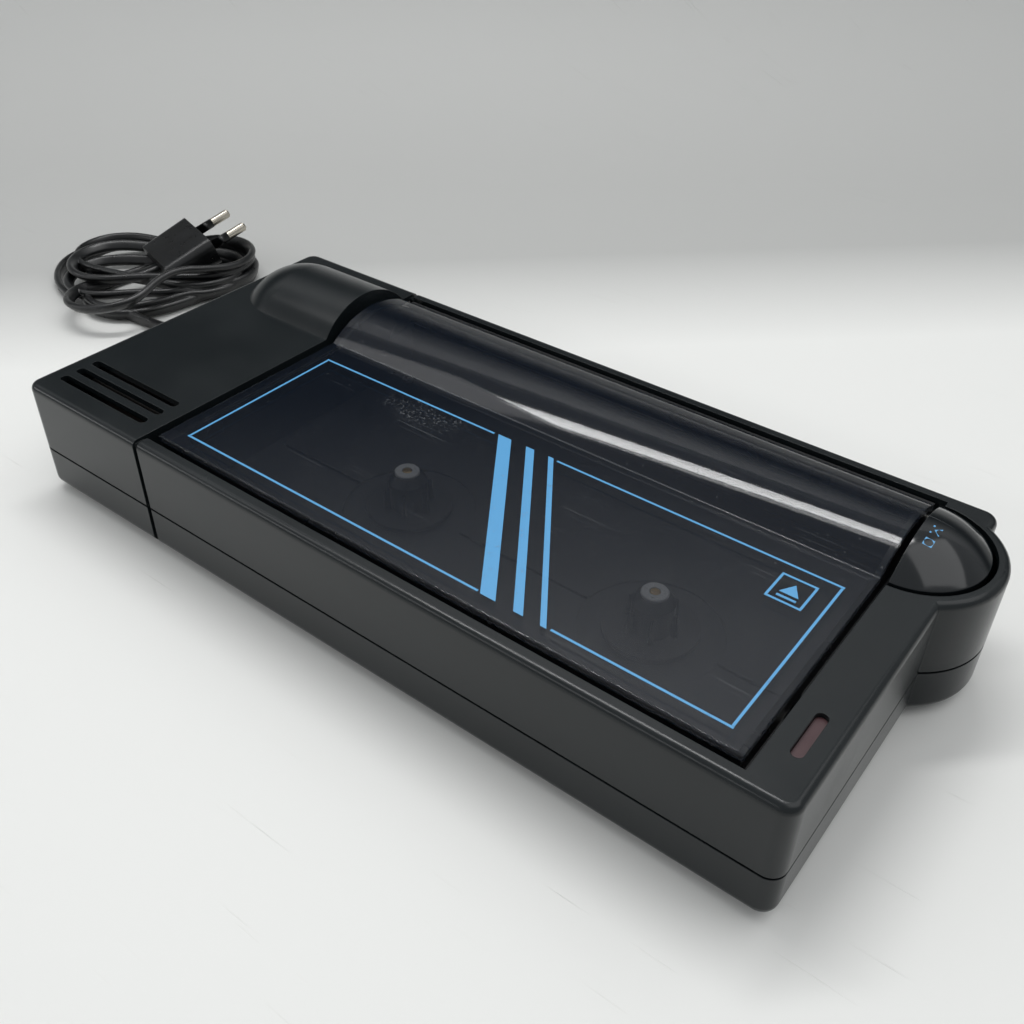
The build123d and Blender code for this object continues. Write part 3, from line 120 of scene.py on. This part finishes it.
# The turns: kind, shift and height of the left end, height behind the plug, then the fold at the
# right with its height, and the lean
turns = (
    ("front", (0, 0), 3.2, 3.0, (21, -1, 18.8), 4.2, 62),
    ("wide", (1, 1), 5.2, 4.5, (26, 3, 19.5), 5.6, 78),
    ("middle", (-3, -4), 6.8, 6.0, (21, 1, 19.0), 7.4, 50),
    ("rear", (0, -1), 8.8, 7.2, (25, 5, 19.3), 9.2, 70),
    ("middle", (-1, 4), 10.6, 8.0, None, 0.0, 45),
)
for kind, (shift_along, shift_across), height, behind_plug, right_fold, right_height, lean in turns:
    *left, last = [(along + shift_along, across + shift_across) for along, across in left_end(kind)]
    lay([in_bundle(*place, height) for place in left] + [in_bundle(*last, behind_plug)], lean)
    if right_fold:
        lay([in_bundle(*place, right_height) for place in fold(*right_fold, 90, -90, 4)], lean)

# Rising over the top, down round the front of the left end, and up into the back of the plug
top_height, top_rise, end_height, end_fall = 11.0, 0.3, 13.5, 1.3
lay([in_bundle(*place, top_height + top_rise * step)
     for step, place in enumerate(fold(24, 5, 19.8, 90, -60, 5))], 55)
lay([in_bundle(*place) for place in ((21.5, -16, 15.0), (10.5, -18.5, 17.1), (1, -25, 16.6))], 25)
lay([in_bundle(*place, end_height - end_fall * step)
     for step, place in enumerate(fold(-19, -20, 19.9, 305, 120, 5))], 50)
lay([in_bundle(-10.6, 1.4, 6.6), in_bundle(0.7, 5.3, 8.8)], 0)

lead_curve = bpy.data.curves.new("mains_lead", "CURVE")
lead_curve.dimensions = "3D"
lead_curve.twist_mode = "Z_UP"
spline = lead_curve.splines.new("NURBS")
spline.points.add(len(route) - 1)
for point, (place, lean) in zip(spline.points, route):
    point.co = (*place, 1.0)
    point.tilt = radians(lean)
spline.order_u = 3
spline.use_endpoint_u = True
spline.resolution_u = 5

# Cross-section: two round cores joined side by side, with a groove between them
core_arc, core_steps = 0.86 * pi, 8
core_radius = lead_thickness / 2
half_gap = (lead_width - lead_thickness) / 2
section = []
for side in (1, -1):
    for step in range(core_steps + 1):
        turn = core_arc * (step / core_steps - 0.5)
        section.append((side * (half_gap + core_radius * cos(turn)),
                        side * core_radius * sin(turn)))
section_curve = bpy.data.curves.new("lead_section", "CURVE")
section_spline = section_curve.splines.new("POLY")
section_spline.points.add(len(section) - 1)
for point, (x, y) in zip(section_spline.points, section):
    point.co = (x, y, 0.0, 1.0)
section_spline.use_cyclic_u = True
lead_curve.bevel_mode = "OBJECT"
lead_curve.bevel_object = bpy.data.objects.new("lead_section", section_curve)
lead_curve.use_fill_caps = True
mains_lead = bpy.data.objects.new("mains_lead", lead_curve)
scene.collection.objects.link(mains_lead)


class Shade:
    """A value or colour of one material. Arithmetic on it adds Math nodes."""

    def __init__(self, tree, socket=None):
        self.tree = tree
        self.socket = socket

    def node(self, kind, inputs=None, output=0, **settings):
        """Add a node: its settings first, then values or links for its sockets."""
        made = self.tree.nodes.new(kind)
        for name, value in settings.items():
            setattr(made, name, value)
        for name, value in (inputs or {}).items():
            if isinstance(value, Shade):
                self.tree.links.new(value.socket, made.inputs[name])
            else:
                made.inputs[name].default_value = value
        return Shade(self.tree, made.outputs[output] if made.outputs else None)

    def maths(self, operation, first, second=0.0):
        """The result of a Math node."""
        return self.node("ShaderNodeMath", {0: first, 1: second}, operation=operation)

    def __add__(self, other):
        return self.maths("ADD", self, other)

    __radd__ = __add__

    def __mul__(self, other):
        return self.maths("MULTIPLY", self, other)

    __rmul__ = __mul__

    def __sub__(self, other):
        return self.maths("SUBTRACT", self, other)

    def __rsub__(self, other):
        return self.maths("SUBTRACT", other, self)

    def on_piece(self, stretch=(1.0, 1.0, 1.0), turn=0.0, middle=(0.0, 0.0, 0.0)):
        """The point on the piece in metres from a middle, turned about the vertical, stretched."""
        place = self.node("ShaderNodeTexCoord", output="Object")
        from_middle = self.node("ShaderNodeVectorMath", {0: place, 1: middle},
                                operation="SUBTRACT")
        return self.node("ShaderNodeMapping", {
            "Vector": from_middle, "Rotation": (0.0, 0.0, radians(turn)), "Scale": stretch})

    def axis(self, place, name):
        """One coordinate of a point."""
        return self.node("ShaderNodeSeparateXYZ", {"Vector": place}, output=name)

    def distance(self, place):
        """How far a point is from the middle that it was measured from."""
        return self.node("ShaderNodeVectorMath", {0: place}, output="Value", operation="LENGTH")

    def noise(self, place, scale, detail=2.0, roughness=0.5):
        """Soft noise between 0 and 1."""
        return self.node("ShaderNodeTexNoise", {
            "Vector": place, "Scale": scale, "Detail": detail, "Roughness": roughness})

    def band(self, value, low, high):
        """Runs from 0 to 1 as value goes from low to high."""
        return self.node("ShaderNodeMapRange", {"Value": value, "From Min": low, "From Max": high})

    def mixed(self, factor, first, second):
        """A colour between two others; 6 and 7 are the Mix node's colour sockets."""
        return self.node("ShaderNodeMix", {"Factor": factor, 6: first, 7: second}, output=2,
                         data_type="RGBA")

    def scratches(self, turn, share):
        """Fine straight scratches in one direction, where the surface is worn."""
        line = self.noise(self.on_piece((9.0, 1100.0, 9.0), turn), 1.0, 1.0)
        worn = self.noise(self.on_piece(), 26.0 + share * 10, 2.0)
        return self.band(line, 0.70, 0.76) * self.band(worn, 0.50, 0.62)

    def rounded(self, radius):
        """The normal with sharp edges rounded."""
        return self.node("ShaderNodeBevel", {"Radius": radius}, samples=4)

    def edges(self, rounded):
        """1 along the edges of the piece and 0 on its faces."""
        flat = self.node("ShaderNodeNewGeometry", output="Normal")
        agreement = self.node("ShaderNodeVectorMath", {0: flat, 1: rounded}, output="Value",
                              operation="DOT_PRODUCT")
        return 1.0 - self.band(agreement, 0.80, 0.995)

    def bump(self, height, depth, normal=None):
        """A normal from a height that varies 0 to 1 over a depth in metres."""
        inputs = {"Height": height, "Distance": depth, "Strength": 1.0}
        if normal is not None:
            inputs["Normal"] = normal
        return self.node("ShaderNodeBump", inputs)


def rgb(red, green, blue):
    """A colour for a socket."""
    return (red, green, blue, 1.0)


def finish(name):
    """A new empty material and the Shade that fills it."""
    material = bpy.data.materials.new(name)
    material.use_nodes = True
    material.node_tree.nodes.clear()
    return material, Shade(material.node_tree)


def surface(shade, **sockets):
    """Close a material with the Principled shader; spaces in socket names are written _."""
    inputs = {name.replace("_", " "): value for name, value in sockets.items()}
    body = shade.node("ShaderNodeBsdfPrincipled", inputs)
    shade.node("ShaderNodeOutputMaterial", {"Surface": body})


def dress(material, *nodes):
    """Give CAD nodes a material."""
    for name in nodes:
        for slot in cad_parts[name].material_slots:
            slot.material = material


vinyl, shade = finish("black_vinyl")
skin = shade.noise(shade.on_piece(), 300.0, 3.0)
chalk = shade.band(shade.noise(shade.on_piece(), 55.0, 3.0), 0.5, 0.7)
surface(shade, Base_Color=shade.mixed(chalk, rgb(0.0035, 0.004, 0.0045), rgb(0.009, 0.010, 0.011)),
        Roughness=0.22 + 0.16 * skin, Normal=shade.bump(skin, 0.00004, shade.rounded(0.0007)))
lead_curve.materials.append(vinyl)
dress(vinyl, "plug_body", "strain_relief")

plated, shade = finish("pin_nickel")
marks = shade.noise(shade.on_piece((1.0, 1.0, 6.0)), 700.0, 3.0)
surface(shade, Base_Color=shade.mixed(marks, rgb(0.62, 0.58, 0.50), rgb(0.44, 0.41, 0.35)),
        Metallic=1.0, Roughness=0.22 + 0.14 * marks, Normal=shade.bump(marks, 0.000003))
dress(plated, "plug_pins")


def mesh_piece(name, points, faces, material, body, smooth=True):
    """A finished piece from points in metres, riding on a body."""
    mesh = bpy.data.meshes.new(name)
    mesh.from_pydata(points, [], faces)
    mesh.update()
    mesh.polygons.foreach_set("use_smooth", [smooth] * len(faces))
    mesh.materials.append(material)
    piece = bpy.data.objects.new(name, mesh)
    scene.collection.objects.link(piece)
    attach(piece, body)


# Sleeves moulded over the root of each pin: a profile of radius and reach, turned about the pin
plug_face = Vector((-0.2371, 0.0804, 0.0165))
plug_side = Vector((0.956, -0.295, 0.0)).normalized()
plug_axis = Vector((0.279, 0.905, 0.322)).normalized()
plug_up = plug_axis.cross(plug_side)
pin_offset = 0.0093
sleeve_profile = ((0.00199, 0.0), (0.00212, 0.0), (0.00212, 0.0092), (0.00206, 0.0096),
                  (0.00199, 0.0096))
sleeve_rows, ring_steps = len(sleeve_profile), 28
points, faces = [], []
for pin in (-pin_offset, pin_offset):
    base = len(points)
    for radius, reach in sleeve_profile:
        for step in range(ring_steps):
            turn = 2 * pi * step / ring_steps
            points.append(plug_face + plug_side * (pin + radius * cos(turn))
                          + plug_up * radius * sin(turn) + plug_axis * reach)
    for row in range(sleeve_rows):
        for step in range(ring_steps):
            a, b = base + row * ring_steps, base + (row + 1) % sleeve_rows * ring_steps
            after = (step + 1) % ring_steps
            faces.append((a + step, a + after, b + after, b + step))
mesh_piece("pin_sleeves", points, faces, vinyl, "case")

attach(mains_lead, "case")
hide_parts("mains_cord", "cord_loop", "cord_hank")

# ======== Room ========
# A pale table that sweeps up into a grey wall. Painted shade on the paper stands in for the dim
# room:
# the table greys towards the wall, and the wall is dark higher up where the glossy lid mirrors it.
# A large soft lamp stands to the right, and narrow ones draw the bright lines along the crown and
# the edges.

heading = radians(37.73)
back_x, back_y = -sin(heading), cos(heading)
table_front, half_width = -2.0, 3.0
sweep_start, sweep_radius, sweep_steps, wall_height = 0.60, 0.18, 12, 0.80
profile = [(table_front, 0.0), (sweep_start, 0.0)]
for step in range(1, sweep_steps + 1):
    turn = radians(90.0 / sweep_steps * step)
    profile.append((sweep_start + sweep_radius * sin(turn), sweep_radius * (1 - cos(turn))))
profile.append((sweep_start + sweep_radius, wall_height))
backdrop_mesh = bpy.data.meshes.new("backdrop")
backdrop_points = [(camera.location.x + back_x * along + side * cos(heading),
                    camera.location.y + back_y * along + side * sin(heading), up)
                   for along, up in profile for side in (-half_width, half_width)]
backdrop_faces = [(2 * i, 2 * i + 1, 2 * i + 3, 2 * i + 2) for i in range(len(profile) - 1)]
backdrop_mesh.from_pydata(backdrop_points, [], backdrop_faces)
backdrop_mesh.polygons.foreach_set("use_smooth", [True] * len(backdrop_faces))
backdrop = bpy.data.objects.new("backdrop", backdrop_mesh)
scene.collection.objects.link(backdrop)

# Painted shade: the paper greys with the distance from the camera, slightly askew, and darkens with
# the height into a band where the lid mirrors it, then is pale again at the top
paper, shade = finish("pale_paper")
askew = 0.1
height = shade.axis(shade.on_piece(), "Z")
from_camera = shade.on_piece(middle=camera.location)
away = (shade.axis(from_camera, "X") * (back_x - askew * back_y)
        + shade.axis(from_camera, "Y") * (back_y + askew * back_x))
table = shade.mixed(shade.band(away, 0.405, 0.50), rgb(0.80, 0.805, 0.785),
                    rgb(0.45, 0.455, 0.445))
wall = shade.mixed(shade.band(height, 0.09, 0.24), table, rgb(0.030, 0.031, 0.033))
marks = shade.scratches(20.0, 1.0)
surface(shade, Base_Color=shade.mixed(shade.band(height, 0.34, 0.62), wall, rgb(0.85, 0.855, 0.86)),
        Roughness=0.6 + 0.2 * marks, Normal=shade.bump(marks, 0.0001))
backdrop.data.materials.append(paper)


def lamp(name, place, aim, along, size, power):
    """A rectangular soft lamp that points at a spot, with its long side along a direction."""
    light = bpy.data.objects.new(name, bpy.data.lights.new(name, "AREA"))
    scene.collection.objects.link(light)
    light.data.shape = "RECTANGLE"
    light.data.size, light.data.size_y = size
    light.data.energy = power
    light.location = place
    towards = (Vector(place) - Vector(aim)).normalized()
    side = (Vector(along) - towards * Vector(along).dot(towards)).normalized()
    up = towards.cross(side)
    light.rotation_euler = Matrix((side, up, towards)).transposed().to_euler()


lamp("window", (0.60, 0.35, 1.30), (0.0, 0.0, 0.0), (0.6, 0.8, 0.0), (1.2, 1.2), 5.6)
lamp("tube", (-0.28, 0.18, 1.0), (0.03, 0.02, 0.045), (0.70, 0.71, 0.0), (0.76, 0.11), 4.7)
lamp("panel", (-0.74, -0.24, 1.0), (0.0, 0.0, 0.045), (0.70, 0.71, 0.0), (0.45, 0.26), 0.6)
lamp("strip", (-0.60, -0.78, 0.50), (0.0, -0.06, 0.04), (1.0, 0.0, 0.0), (1.3, 0.10), 1.7)
world = bpy.data.worlds.new("room")
scene.world = world
world.use_nodes = True
world.node_tree.nodes["Background"].inputs["Color"].default_value = rgb(0.96, 0.98, 1.0)
world.node_tree.nodes["Background"].inputs["Strength"].default_value = 0.44

# ======== Case ========
# Top and bottom shells in charcoal ABS with a fine spark finish, screwed together from below, on
# rubber feet pressed into recesses. Ribs stand round the tapered boot of the lead.


def moulded(name, colour, pale, roughness, grain=2200.0, depth=0.00001, edge=0.0003, gloss=0.5):
    """Moulded plastic: spark texture, patchy gloss and tone; edges rounded, with a painted
    highlight.
    """
    material, shade = finish(name)
    pores = shade.noise(shade.on_piece(), grain, 3.0)
    cloud = shade.noise(shade.on_piece(), 30.0, 4.0)
    rounded = shade.rounded(edge)
    # Patchy tone of the plastic, plus a painted highlight that makes the edges paler
    worn = shade.band(cloud, 0.40, 0.80) * 0.6 + shade.edges(rounded) * 0.5
    surface(shade, Base_Color=shade.mixed(worn, rgb(*colour), rgb(*pale)),
            Roughness=roughness - 0.10 + 0.20 * cloud,
            Normal=shade.bump(pores, depth, rounded), Specular_IOR_Level=gloss)
    return material


def metal(name, colour, roughness, streak=(1.0, 1.0, 40.0)):
    """Plain or plated metal with fine drawing marks."""
    material, shade = finish(name)
    marks = shade.noise(shade.on_piece(streak), 900.0, 3.0)
    darker = [0.72 * channel for channel in colour]
    surface(shade, Base_Color=shade.mixed(marks, rgb(*colour), rgb(*darker)), Metallic=1.0,
            Roughness=roughness - 0.08 + 0.16 * marks,
            Normal=shade.bump(marks, 0.000004, shade.rounded(0.00015)))
    return material


dress(moulded("charcoal_abs", (0.0070, 0.0096, 0.0108), (0.0135, 0.0172, 0.0188), 0.23, gloss=0.34),
      "upper_case", "lower_case")
dress(moulded("foot_rubber", (0.012, 0.012, 0.012), (0.02, 0.02, 0.02), 0.8), "rubber_feet")
steel = metal("zinc_steel", (0.62, 0.62, 0.60), 0.32)
dress(steel, "case_screws", "tray_screws", "motor_screws", "board_screws", "transformer_screws",
      "indicator_screws", "hinge_pins", "lid_spring", "button_spring", "idler_axle", "motor_shaft")

# The boot's ribs are all grown from one ring
ribs_tree = bpy.data.node_groups.new("boot_ribs", "GeometryNodeTree")
ribs_tree.interface.new_socket("Geometry", in_out="OUTPUT", socket_type="NodeSocketGeometry")
rib_sizes = {"Count": 6, "Pitch": 0.0028, "Radius": 0.0044, "Shrink": 0.055, "Thickness": 0.0005}
for label, value in rib_sizes.items():
    kind = "NodeSocketInt" if isinstance(value, int) else "NodeSocketFloat"
    ribs_tree.interface.new_socket(label, in_out="INPUT", socket_type=kind)
given = ribs_tree.nodes.new("NodeGroupInput")


def grown(kind, inputs, **settings):
    """Add a geometry node with its settings, values and links, and give the socket it makes."""
    made = ribs_tree.nodes.new(kind)
    for label, value in settings.items():
        setattr(made, label, value)
    for label, value in inputs.items():
        if isinstance(value, bpy.types.NodeSocket):
            ribs_tree.links.new(value, made.inputs[label])
        else:
            made.inputs[label].default_value = value
    return made.outputs[0] if made.outputs else None


def settled(name, source):
    """A finished object with the mesh that a source grows; the source itself is removed."""
    mesh = bpy.data.meshes.new_from_object(
        source.evaluated_get(bpy.context.evaluated_depsgraph_get()))
    bpy.data.objects.remove(source)
    made = bpy.data.objects.new(name, mesh)
    scene.collection.objects.link(made)
    return made


first_rib = (-0.1484, boot_y, boot_height)
back_one = grown("ShaderNodeMath", {0: given.outputs["Pitch"], 1: -1.0}, operation="MULTIPLY")
line = grown("GeometryNodeMeshLine", {
    "Count": given.outputs["Count"], "Start Location": first_rib,
    "Offset": grown("ShaderNodeCombineXYZ", {"X": back_one})})
rib_path = grown("GeometryNodeCurvePrimitiveCircle", {
    "Radius": given.outputs["Radius"], "Resolution": 40})
rib_section = grown("GeometryNodeCurvePrimitiveCircle", {
    "Radius": given.outputs["Thickness"], "Resolution": 10})
ring = grown("GeometryNodeCurveToMesh", {"Curve": rib_path, "Profile Curve": rib_section})
smaller = grown("ShaderNodeMath", {
    0: grown("GeometryNodeInputIndex", {}), 1: given.outputs["Shrink"]}, operation="MULTIPLY")
placed = grown("GeometryNodeInstanceOnPoints", {
    "Points": line, "Instance": ring, "Rotation": (0.0, pi / 2, 0.0),
    "Scale": grown("ShaderNodeMath", {0: 1.0, 1: smaller}, operation="SUBTRACT")})
solid = grown("GeometryNodeSetMaterial", {
    "Geometry": grown("GeometryNodeRealizeInstances", {"Geometry": placed}), "Material": vinyl})
grown("NodeGroupOutput", {"Geometry": solid})

rib_seed = bpy.data.objects.new("boot_rib_seed", bpy.data.meshes.new("boot_rib_seed"))
scene.collection.objects.link(rib_seed)
ribs_modifier = rib_seed.modifiers.new("ribs", "NODES")
ribs_modifier.node_group = ribs_tree
for socket in ribs_tree.interface.items_tree:
    if socket.name in rib_sizes:
        ribs_modifier[socket.identifier] = rib_sizes[socket.name]
boot_ribs = settled("boot_ribs", rib_seed)
for face in boot_ribs.data.polygons:
    face.use_smooth = True
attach(boot_ribs, "case")

# ======== Deck and drive ========
# The tray, spindles and wheels that the lid covers, moulded in black, white and grey plastic, with
# the motor, its belt and the brass pulley and axles.

dress(moulded("deck_abs", (0.026, 0.028, 0.031), (0.042, 0.045, 0.050), 0.36), "cassette_tray")
dress(moulded("spindle_acetal", (0.010, 0.011, 0.012), (0.020, 0.021, 0.023), 0.34),
      "supply_spindle", "takeup_spindle")
dress(moulded("cap_acetal", (0.50, 0.52, 0.54), (0.58, 0.60, 0.62), 0.4),
      "supply_cap", "takeup_cap")
dress(moulded("white_acetal", (0.68, 0.67, 0.63), (0.76, 0.75, 0.71), 0.4),
      "supply_gear", "idler_wheel", "latch_slider")
dress(metal("axle_brass", (0.80, 0.58, 0.30), 0.3), "spindle_axles", "motor_pulley", "fuse_clips")
dress(moulded("felt", (0.25, 0.24, 0.22), (0.33, 0.32, 0.30), 0.9, 1500.0, 0.0001),
      "takeup_felt_washer")
dress(moulded("belt_rubber", (0.012, 0.012, 0.012), (0.02, 0.02, 0.02), 0.6), "drive_belt")
dress(metal("motor_steel", (0.55, 0.55, 0.54), 0.35), "motor_can", "motor_mount")
dress(moulded("switch_black", (0.02, 0.02, 0.02), (0.03, 0.03, 0.03), 0.4),
      "start_switch", "rectifier_diodes")

# ======== Power block ========
# Transformer, rectifier board, fuse and smoothing capacitor below the vents, with the small board
# of the indicator in the same paper laminate.

dress(metal("core_iron", (0.10, 0.095, 0.09), 0.5, (1.0, 300.0, 1.0)),
      "transformer_core", "transformer_bracket")
dress(moulded("winding_tape", (0.030, 0.022, 0.012), (0.05, 0.036, 0.02), 0.35),
      "transformer_winding")
dress(moulded("board_paper", (0.20, 0.11, 0.045), (0.26, 0.15, 0.06), 0.5),
      "power_board", "indicator_board")
dress(moulded("capacitor_sleeve", (0.02, 0.06, 0.25), (0.03, 0.08, 0.30), 0.3),
      "smoothing_capacitor")
dress(moulded("fuse_glass", (0.6, 0.62, 0.62), (0.7, 0.72, 0.72), 0.1), "fuse")

# ======== Lid ========
# Smoked acrylic window, glossy, scuffed and lightly scratched, with a painted highlight along the
# crease of its crown, glued on a black carrier with the hinge barrel. A thin frame line and three
# slanted stripes are screen-printed in pale blue.

crease_y = 0.01725  # where the flat of the window turns up into its crown
smoke, shade = finish("smoked_acrylic")
lines = (shade.scratches(24.0, 1.0) + shade.scratches(-58.0, 2.0) * 0.7
         + shade.scratches(80.0, 3.0) * 0.5)
rub = shade.distance(shade.on_piece((46.0, 125.0, 0.0), 0.0, (-0.031, 0.0025, 0.0)))
ragged = rub + shade.noise(shade.on_piece(), 110.0, 3.0) * 1.2
rubbed_grain = shade.band(shade.noise(shade.on_piece(), 1100.0, 3.0, 0.7), 0.54, 0.64)
scuff = (1.0 - shade.band(ragged, 1.1, 1.5)) * rubbed_grain
specks = shade.noise(shade.on_piece(middle=(0.0, 0.0, 0.0003)), 1300.0, 0.0)
dust = shade.band(specks, 0.79, 0.84)
# Painted highlight: a thin pale line along the crease where the flat of the window meets the crown
from_crease = shade.maths("ABSOLUTE", shade.axis(shade.on_piece(), "Y") - crease_y)
crease_highlight = 1.0 - shade.band(from_crease, 0.0001, 0.0004)
film = shade.noise(shade.on_piece(), 14.0, 3.0)
# Real scratches, scuff and dust, together with the painted crease highlight
wear_and_crease_highlight = lines * 0.35 + scuff * 0.6 + dust * 0.5 + crease_highlight * 0.4
surface(shade, Base_Color=shade.mixed(wear_and_crease_highlight, rgb(0.004, 0.008, 0.016), rgb(0.18, 0.19, 0.20)),
        Roughness=0.045 + 0.04 * film + 0.2 * wear_and_crease_highlight, Alpha=0.44 + 0.4 * wear_and_crease_highlight, IOR=1.6,
        Normal=shade.bump(film, 0.00003, shade.rounded(0.0003)))
dress(smoke, "lid_window")
dress(moulded("lid_abs", (0.009, 0.010, 0.011), (0.016, 0.017, 0.018), 0.28), "lid_frame")

ink, shade = finish("blue_ink")
thin = shade.band(shade.noise(shade.on_piece(), 420.0, 4.0, 0.7), 0.60, 0.75)
surface(shade, Base_Color=shade.mixed(thin, rgb(0.105, 0.350, 0.640), rgb(0.060, 0.20, 0.40)),
        Roughness=0.22 + 0.2 * thin, Normal=shade.bump(thin, 0.000006))

# Printing, in millimetres: how far the ink goes into the surface and stands above it
ink_foot, ink_top = -0.15, 0.03


def printed(name, outlines, level, body):
    """Flat patches of ink with four or three corners each, laid on a surface of a known height."""
    points, faces = [], []
    for outline in outlines:
        base, count = len(points), len(outline)
        for lift in (ink_foot, ink_top):
            points += [(x / 1000, y / 1000, (level(x, y) + lift) / 1000) for x, y in outline]
        faces.append(tuple(range(base + count - 1, base - 1, -1)))
        faces.append(tuple(range(base + count, base + 2 * count)))
        for corner in range(count):
            after = (corner + 1) % count
            faces.append((base + corner, base + after, base + count + after, base + count + corner))
    mesh_piece(name, points, faces, ink, body, smooth=False)


def stroke(first, last, width):
    """A straight printed line between two points, widened to four corners."""
    along = (Vector(last) - Vector(first)).normalized()
    side = Vector((-along.y, along.x)) * width / 2
    return [tuple(Vector(first) - side), tuple(Vector(last) - side), tuple(Vector(last) + side),
            tuple(Vector(first) + side)]


# The frame line, open where the stripes pass, and the stripes, each from its start along the back
window_top = 42.0
left_x, right_x, low_y, high_y, slant = -76.7, 111.1, -51.9, 7.7, -0.70
line_width, line_end = 0.72, 0.45
print_outlines = [stroke(*line, line_width) for line in (
    ((-4.3, high_y), (left_x - line_end, high_y)),
    ((left_x, high_y - line_end), (left_x, low_y + line_end)),
    ((left_x - line_end, low_y), (37.6, low_y)),
    ((60.8, low_y), (right_x + line_end, low_y)),
    ((right_x, low_y + line_end), (right_x, high_y - line_end)),
    ((right_x + line_end, high_y), (19.7, high_y)))]
for start, width in ((-3.0, 5.0), (7.7, 3.1), (16.1, 1.95)):
    foot = start + slant * (low_y - high_y)
    print_outlines.append([(foot, low_y - line_end), (foot + width, low_y - line_end),
                           (start + width, high_y + line_end), (start, high_y + line_end)])
# A plain arrow over a bar, in a box
print_outlines += [stroke(*line, 0.7) for line in (
    ((96.0, -7.0), (106.3, -7.0)), ((106.0, -6.65), (106.0, 2.95)),
    ((106.3, 3.3), (96.0, 3.3)), ((96.3, 2.95), (96.3, -6.65)))]
print_outlines.append([(98.4, -3.6), (103.9, -3.6), (101.15, 0.9)])
print_outlines.append(stroke((98.4, -5.1), (103.9, -5.1), 0.8))
printed("lid_print", print_outlines, lambda x, y: window_top, "lid")

# ======== Stop button ========
# Crowned half-round key in glossy black ABS, with plain stop and eject marks. The spring below it
# is a coil piece of its own, built in place of the CAD spring.

key, shade = finish("gloss_abs")
haze = shade.noise(shade.on_piece(), 60.0, 4.0)
lines = shade.scratches(35.0, 2.0)
surface(shade, Base_Color=shade.mixed(lines, rgb(0.006, 0.008, 0.0095), rgb(0.03, 0.033, 0.036)),
        Roughness=0.07 + 0.10 * haze + 0.2 * lines,
        Normal=shade.bump(haze, 0.00003, shade.rounded(0.0003)))
dress(key, "stop_eject_button")

spring_wire, spring_turns, spring_steps, button_travel = 0.0007, 6, 24, 0.003
low, high = [Vector(corner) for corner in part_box("button_spring")]
spring_middle = (low + high) / 2
spring_radius = (high.x - low.x - spring_wire) / 2
spring_height = high.z - low.z - spring_wire
coil_curve = bpy.data.curves.new("button_coil", "CURVE")
coil_curve.dimensions = "3D"
coil_line = coil_curve.splines.new("POLY")
coil_line.points.add(spring_turns * spring_steps)
for step, point in enumerate(coil_line.points):
    turn = 2 * pi * step / spring_steps
    rise = low.z + spring_wire / 2 + spring_height * step / (spring_turns * spring_steps)
    point.co = (spring_middle.x + spring_radius * cos(turn),
                spring_middle.y + spring_radius * sin(turn), rise, 1.0)
coil_curve.bevel_depth = spring_wire / 2
coil_curve.bevel_resolution = 2
coil_curve.use_fill_caps = True
coil_curve.materials.append(steel)
coil_source = bpy.data.objects.new("coil_source", coil_curve)
scene.collection.objects.link(coil_source)
button_coil = settled("button_coil", coil_source)
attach(button_coil, "case")
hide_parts("button_spring")
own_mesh(button_coil)

crown_x, crown_y, crown_base, crown_radius = 119.0, 37.25, 19.5, 30.1


def button_top(x, y):
    """Height of the button's round crown in millimetres."""
    return crown_base + sqrt(crown_radius ** 2 - (x - crown_x) ** 2 - (y - crown_y) ** 2)


stop_square = [(122.0, 29.6), (124.6, 29.6), (124.6, 32.2), (122.0, 32.2)]
eject_arrow = [(124.6, 34.2), (124.6, 37.8), (122.8, 36.0)]
eject_bar = [(122.0, 34.2), (122.5, 34.2), (122.5, 37.8), (122.0, 37.8)]
printed("button_marks", [stop_square, eject_arrow, eject_bar], button_top, "button")

# ======== Indicator ========
# Long dull red lens in its slot, over a small lamp on its own board. Lens and lamp are moulded in
# the same tinted plastic.

lens, shade = finish("red_lens")
cloud = shade.noise(shade.on_piece(), 240.0, 3.0)
surface(shade, Base_Color=shade.mixed(cloud, rgb(0.040, 0.013, 0.016), rgb(0.060, 0.022, 0.026)),
        Roughness=0.28 + 0.2 * cloud, Normal=shade.bump(cloud, 0.00003))
dress(lens, "indicator_lens", "indicator_led")
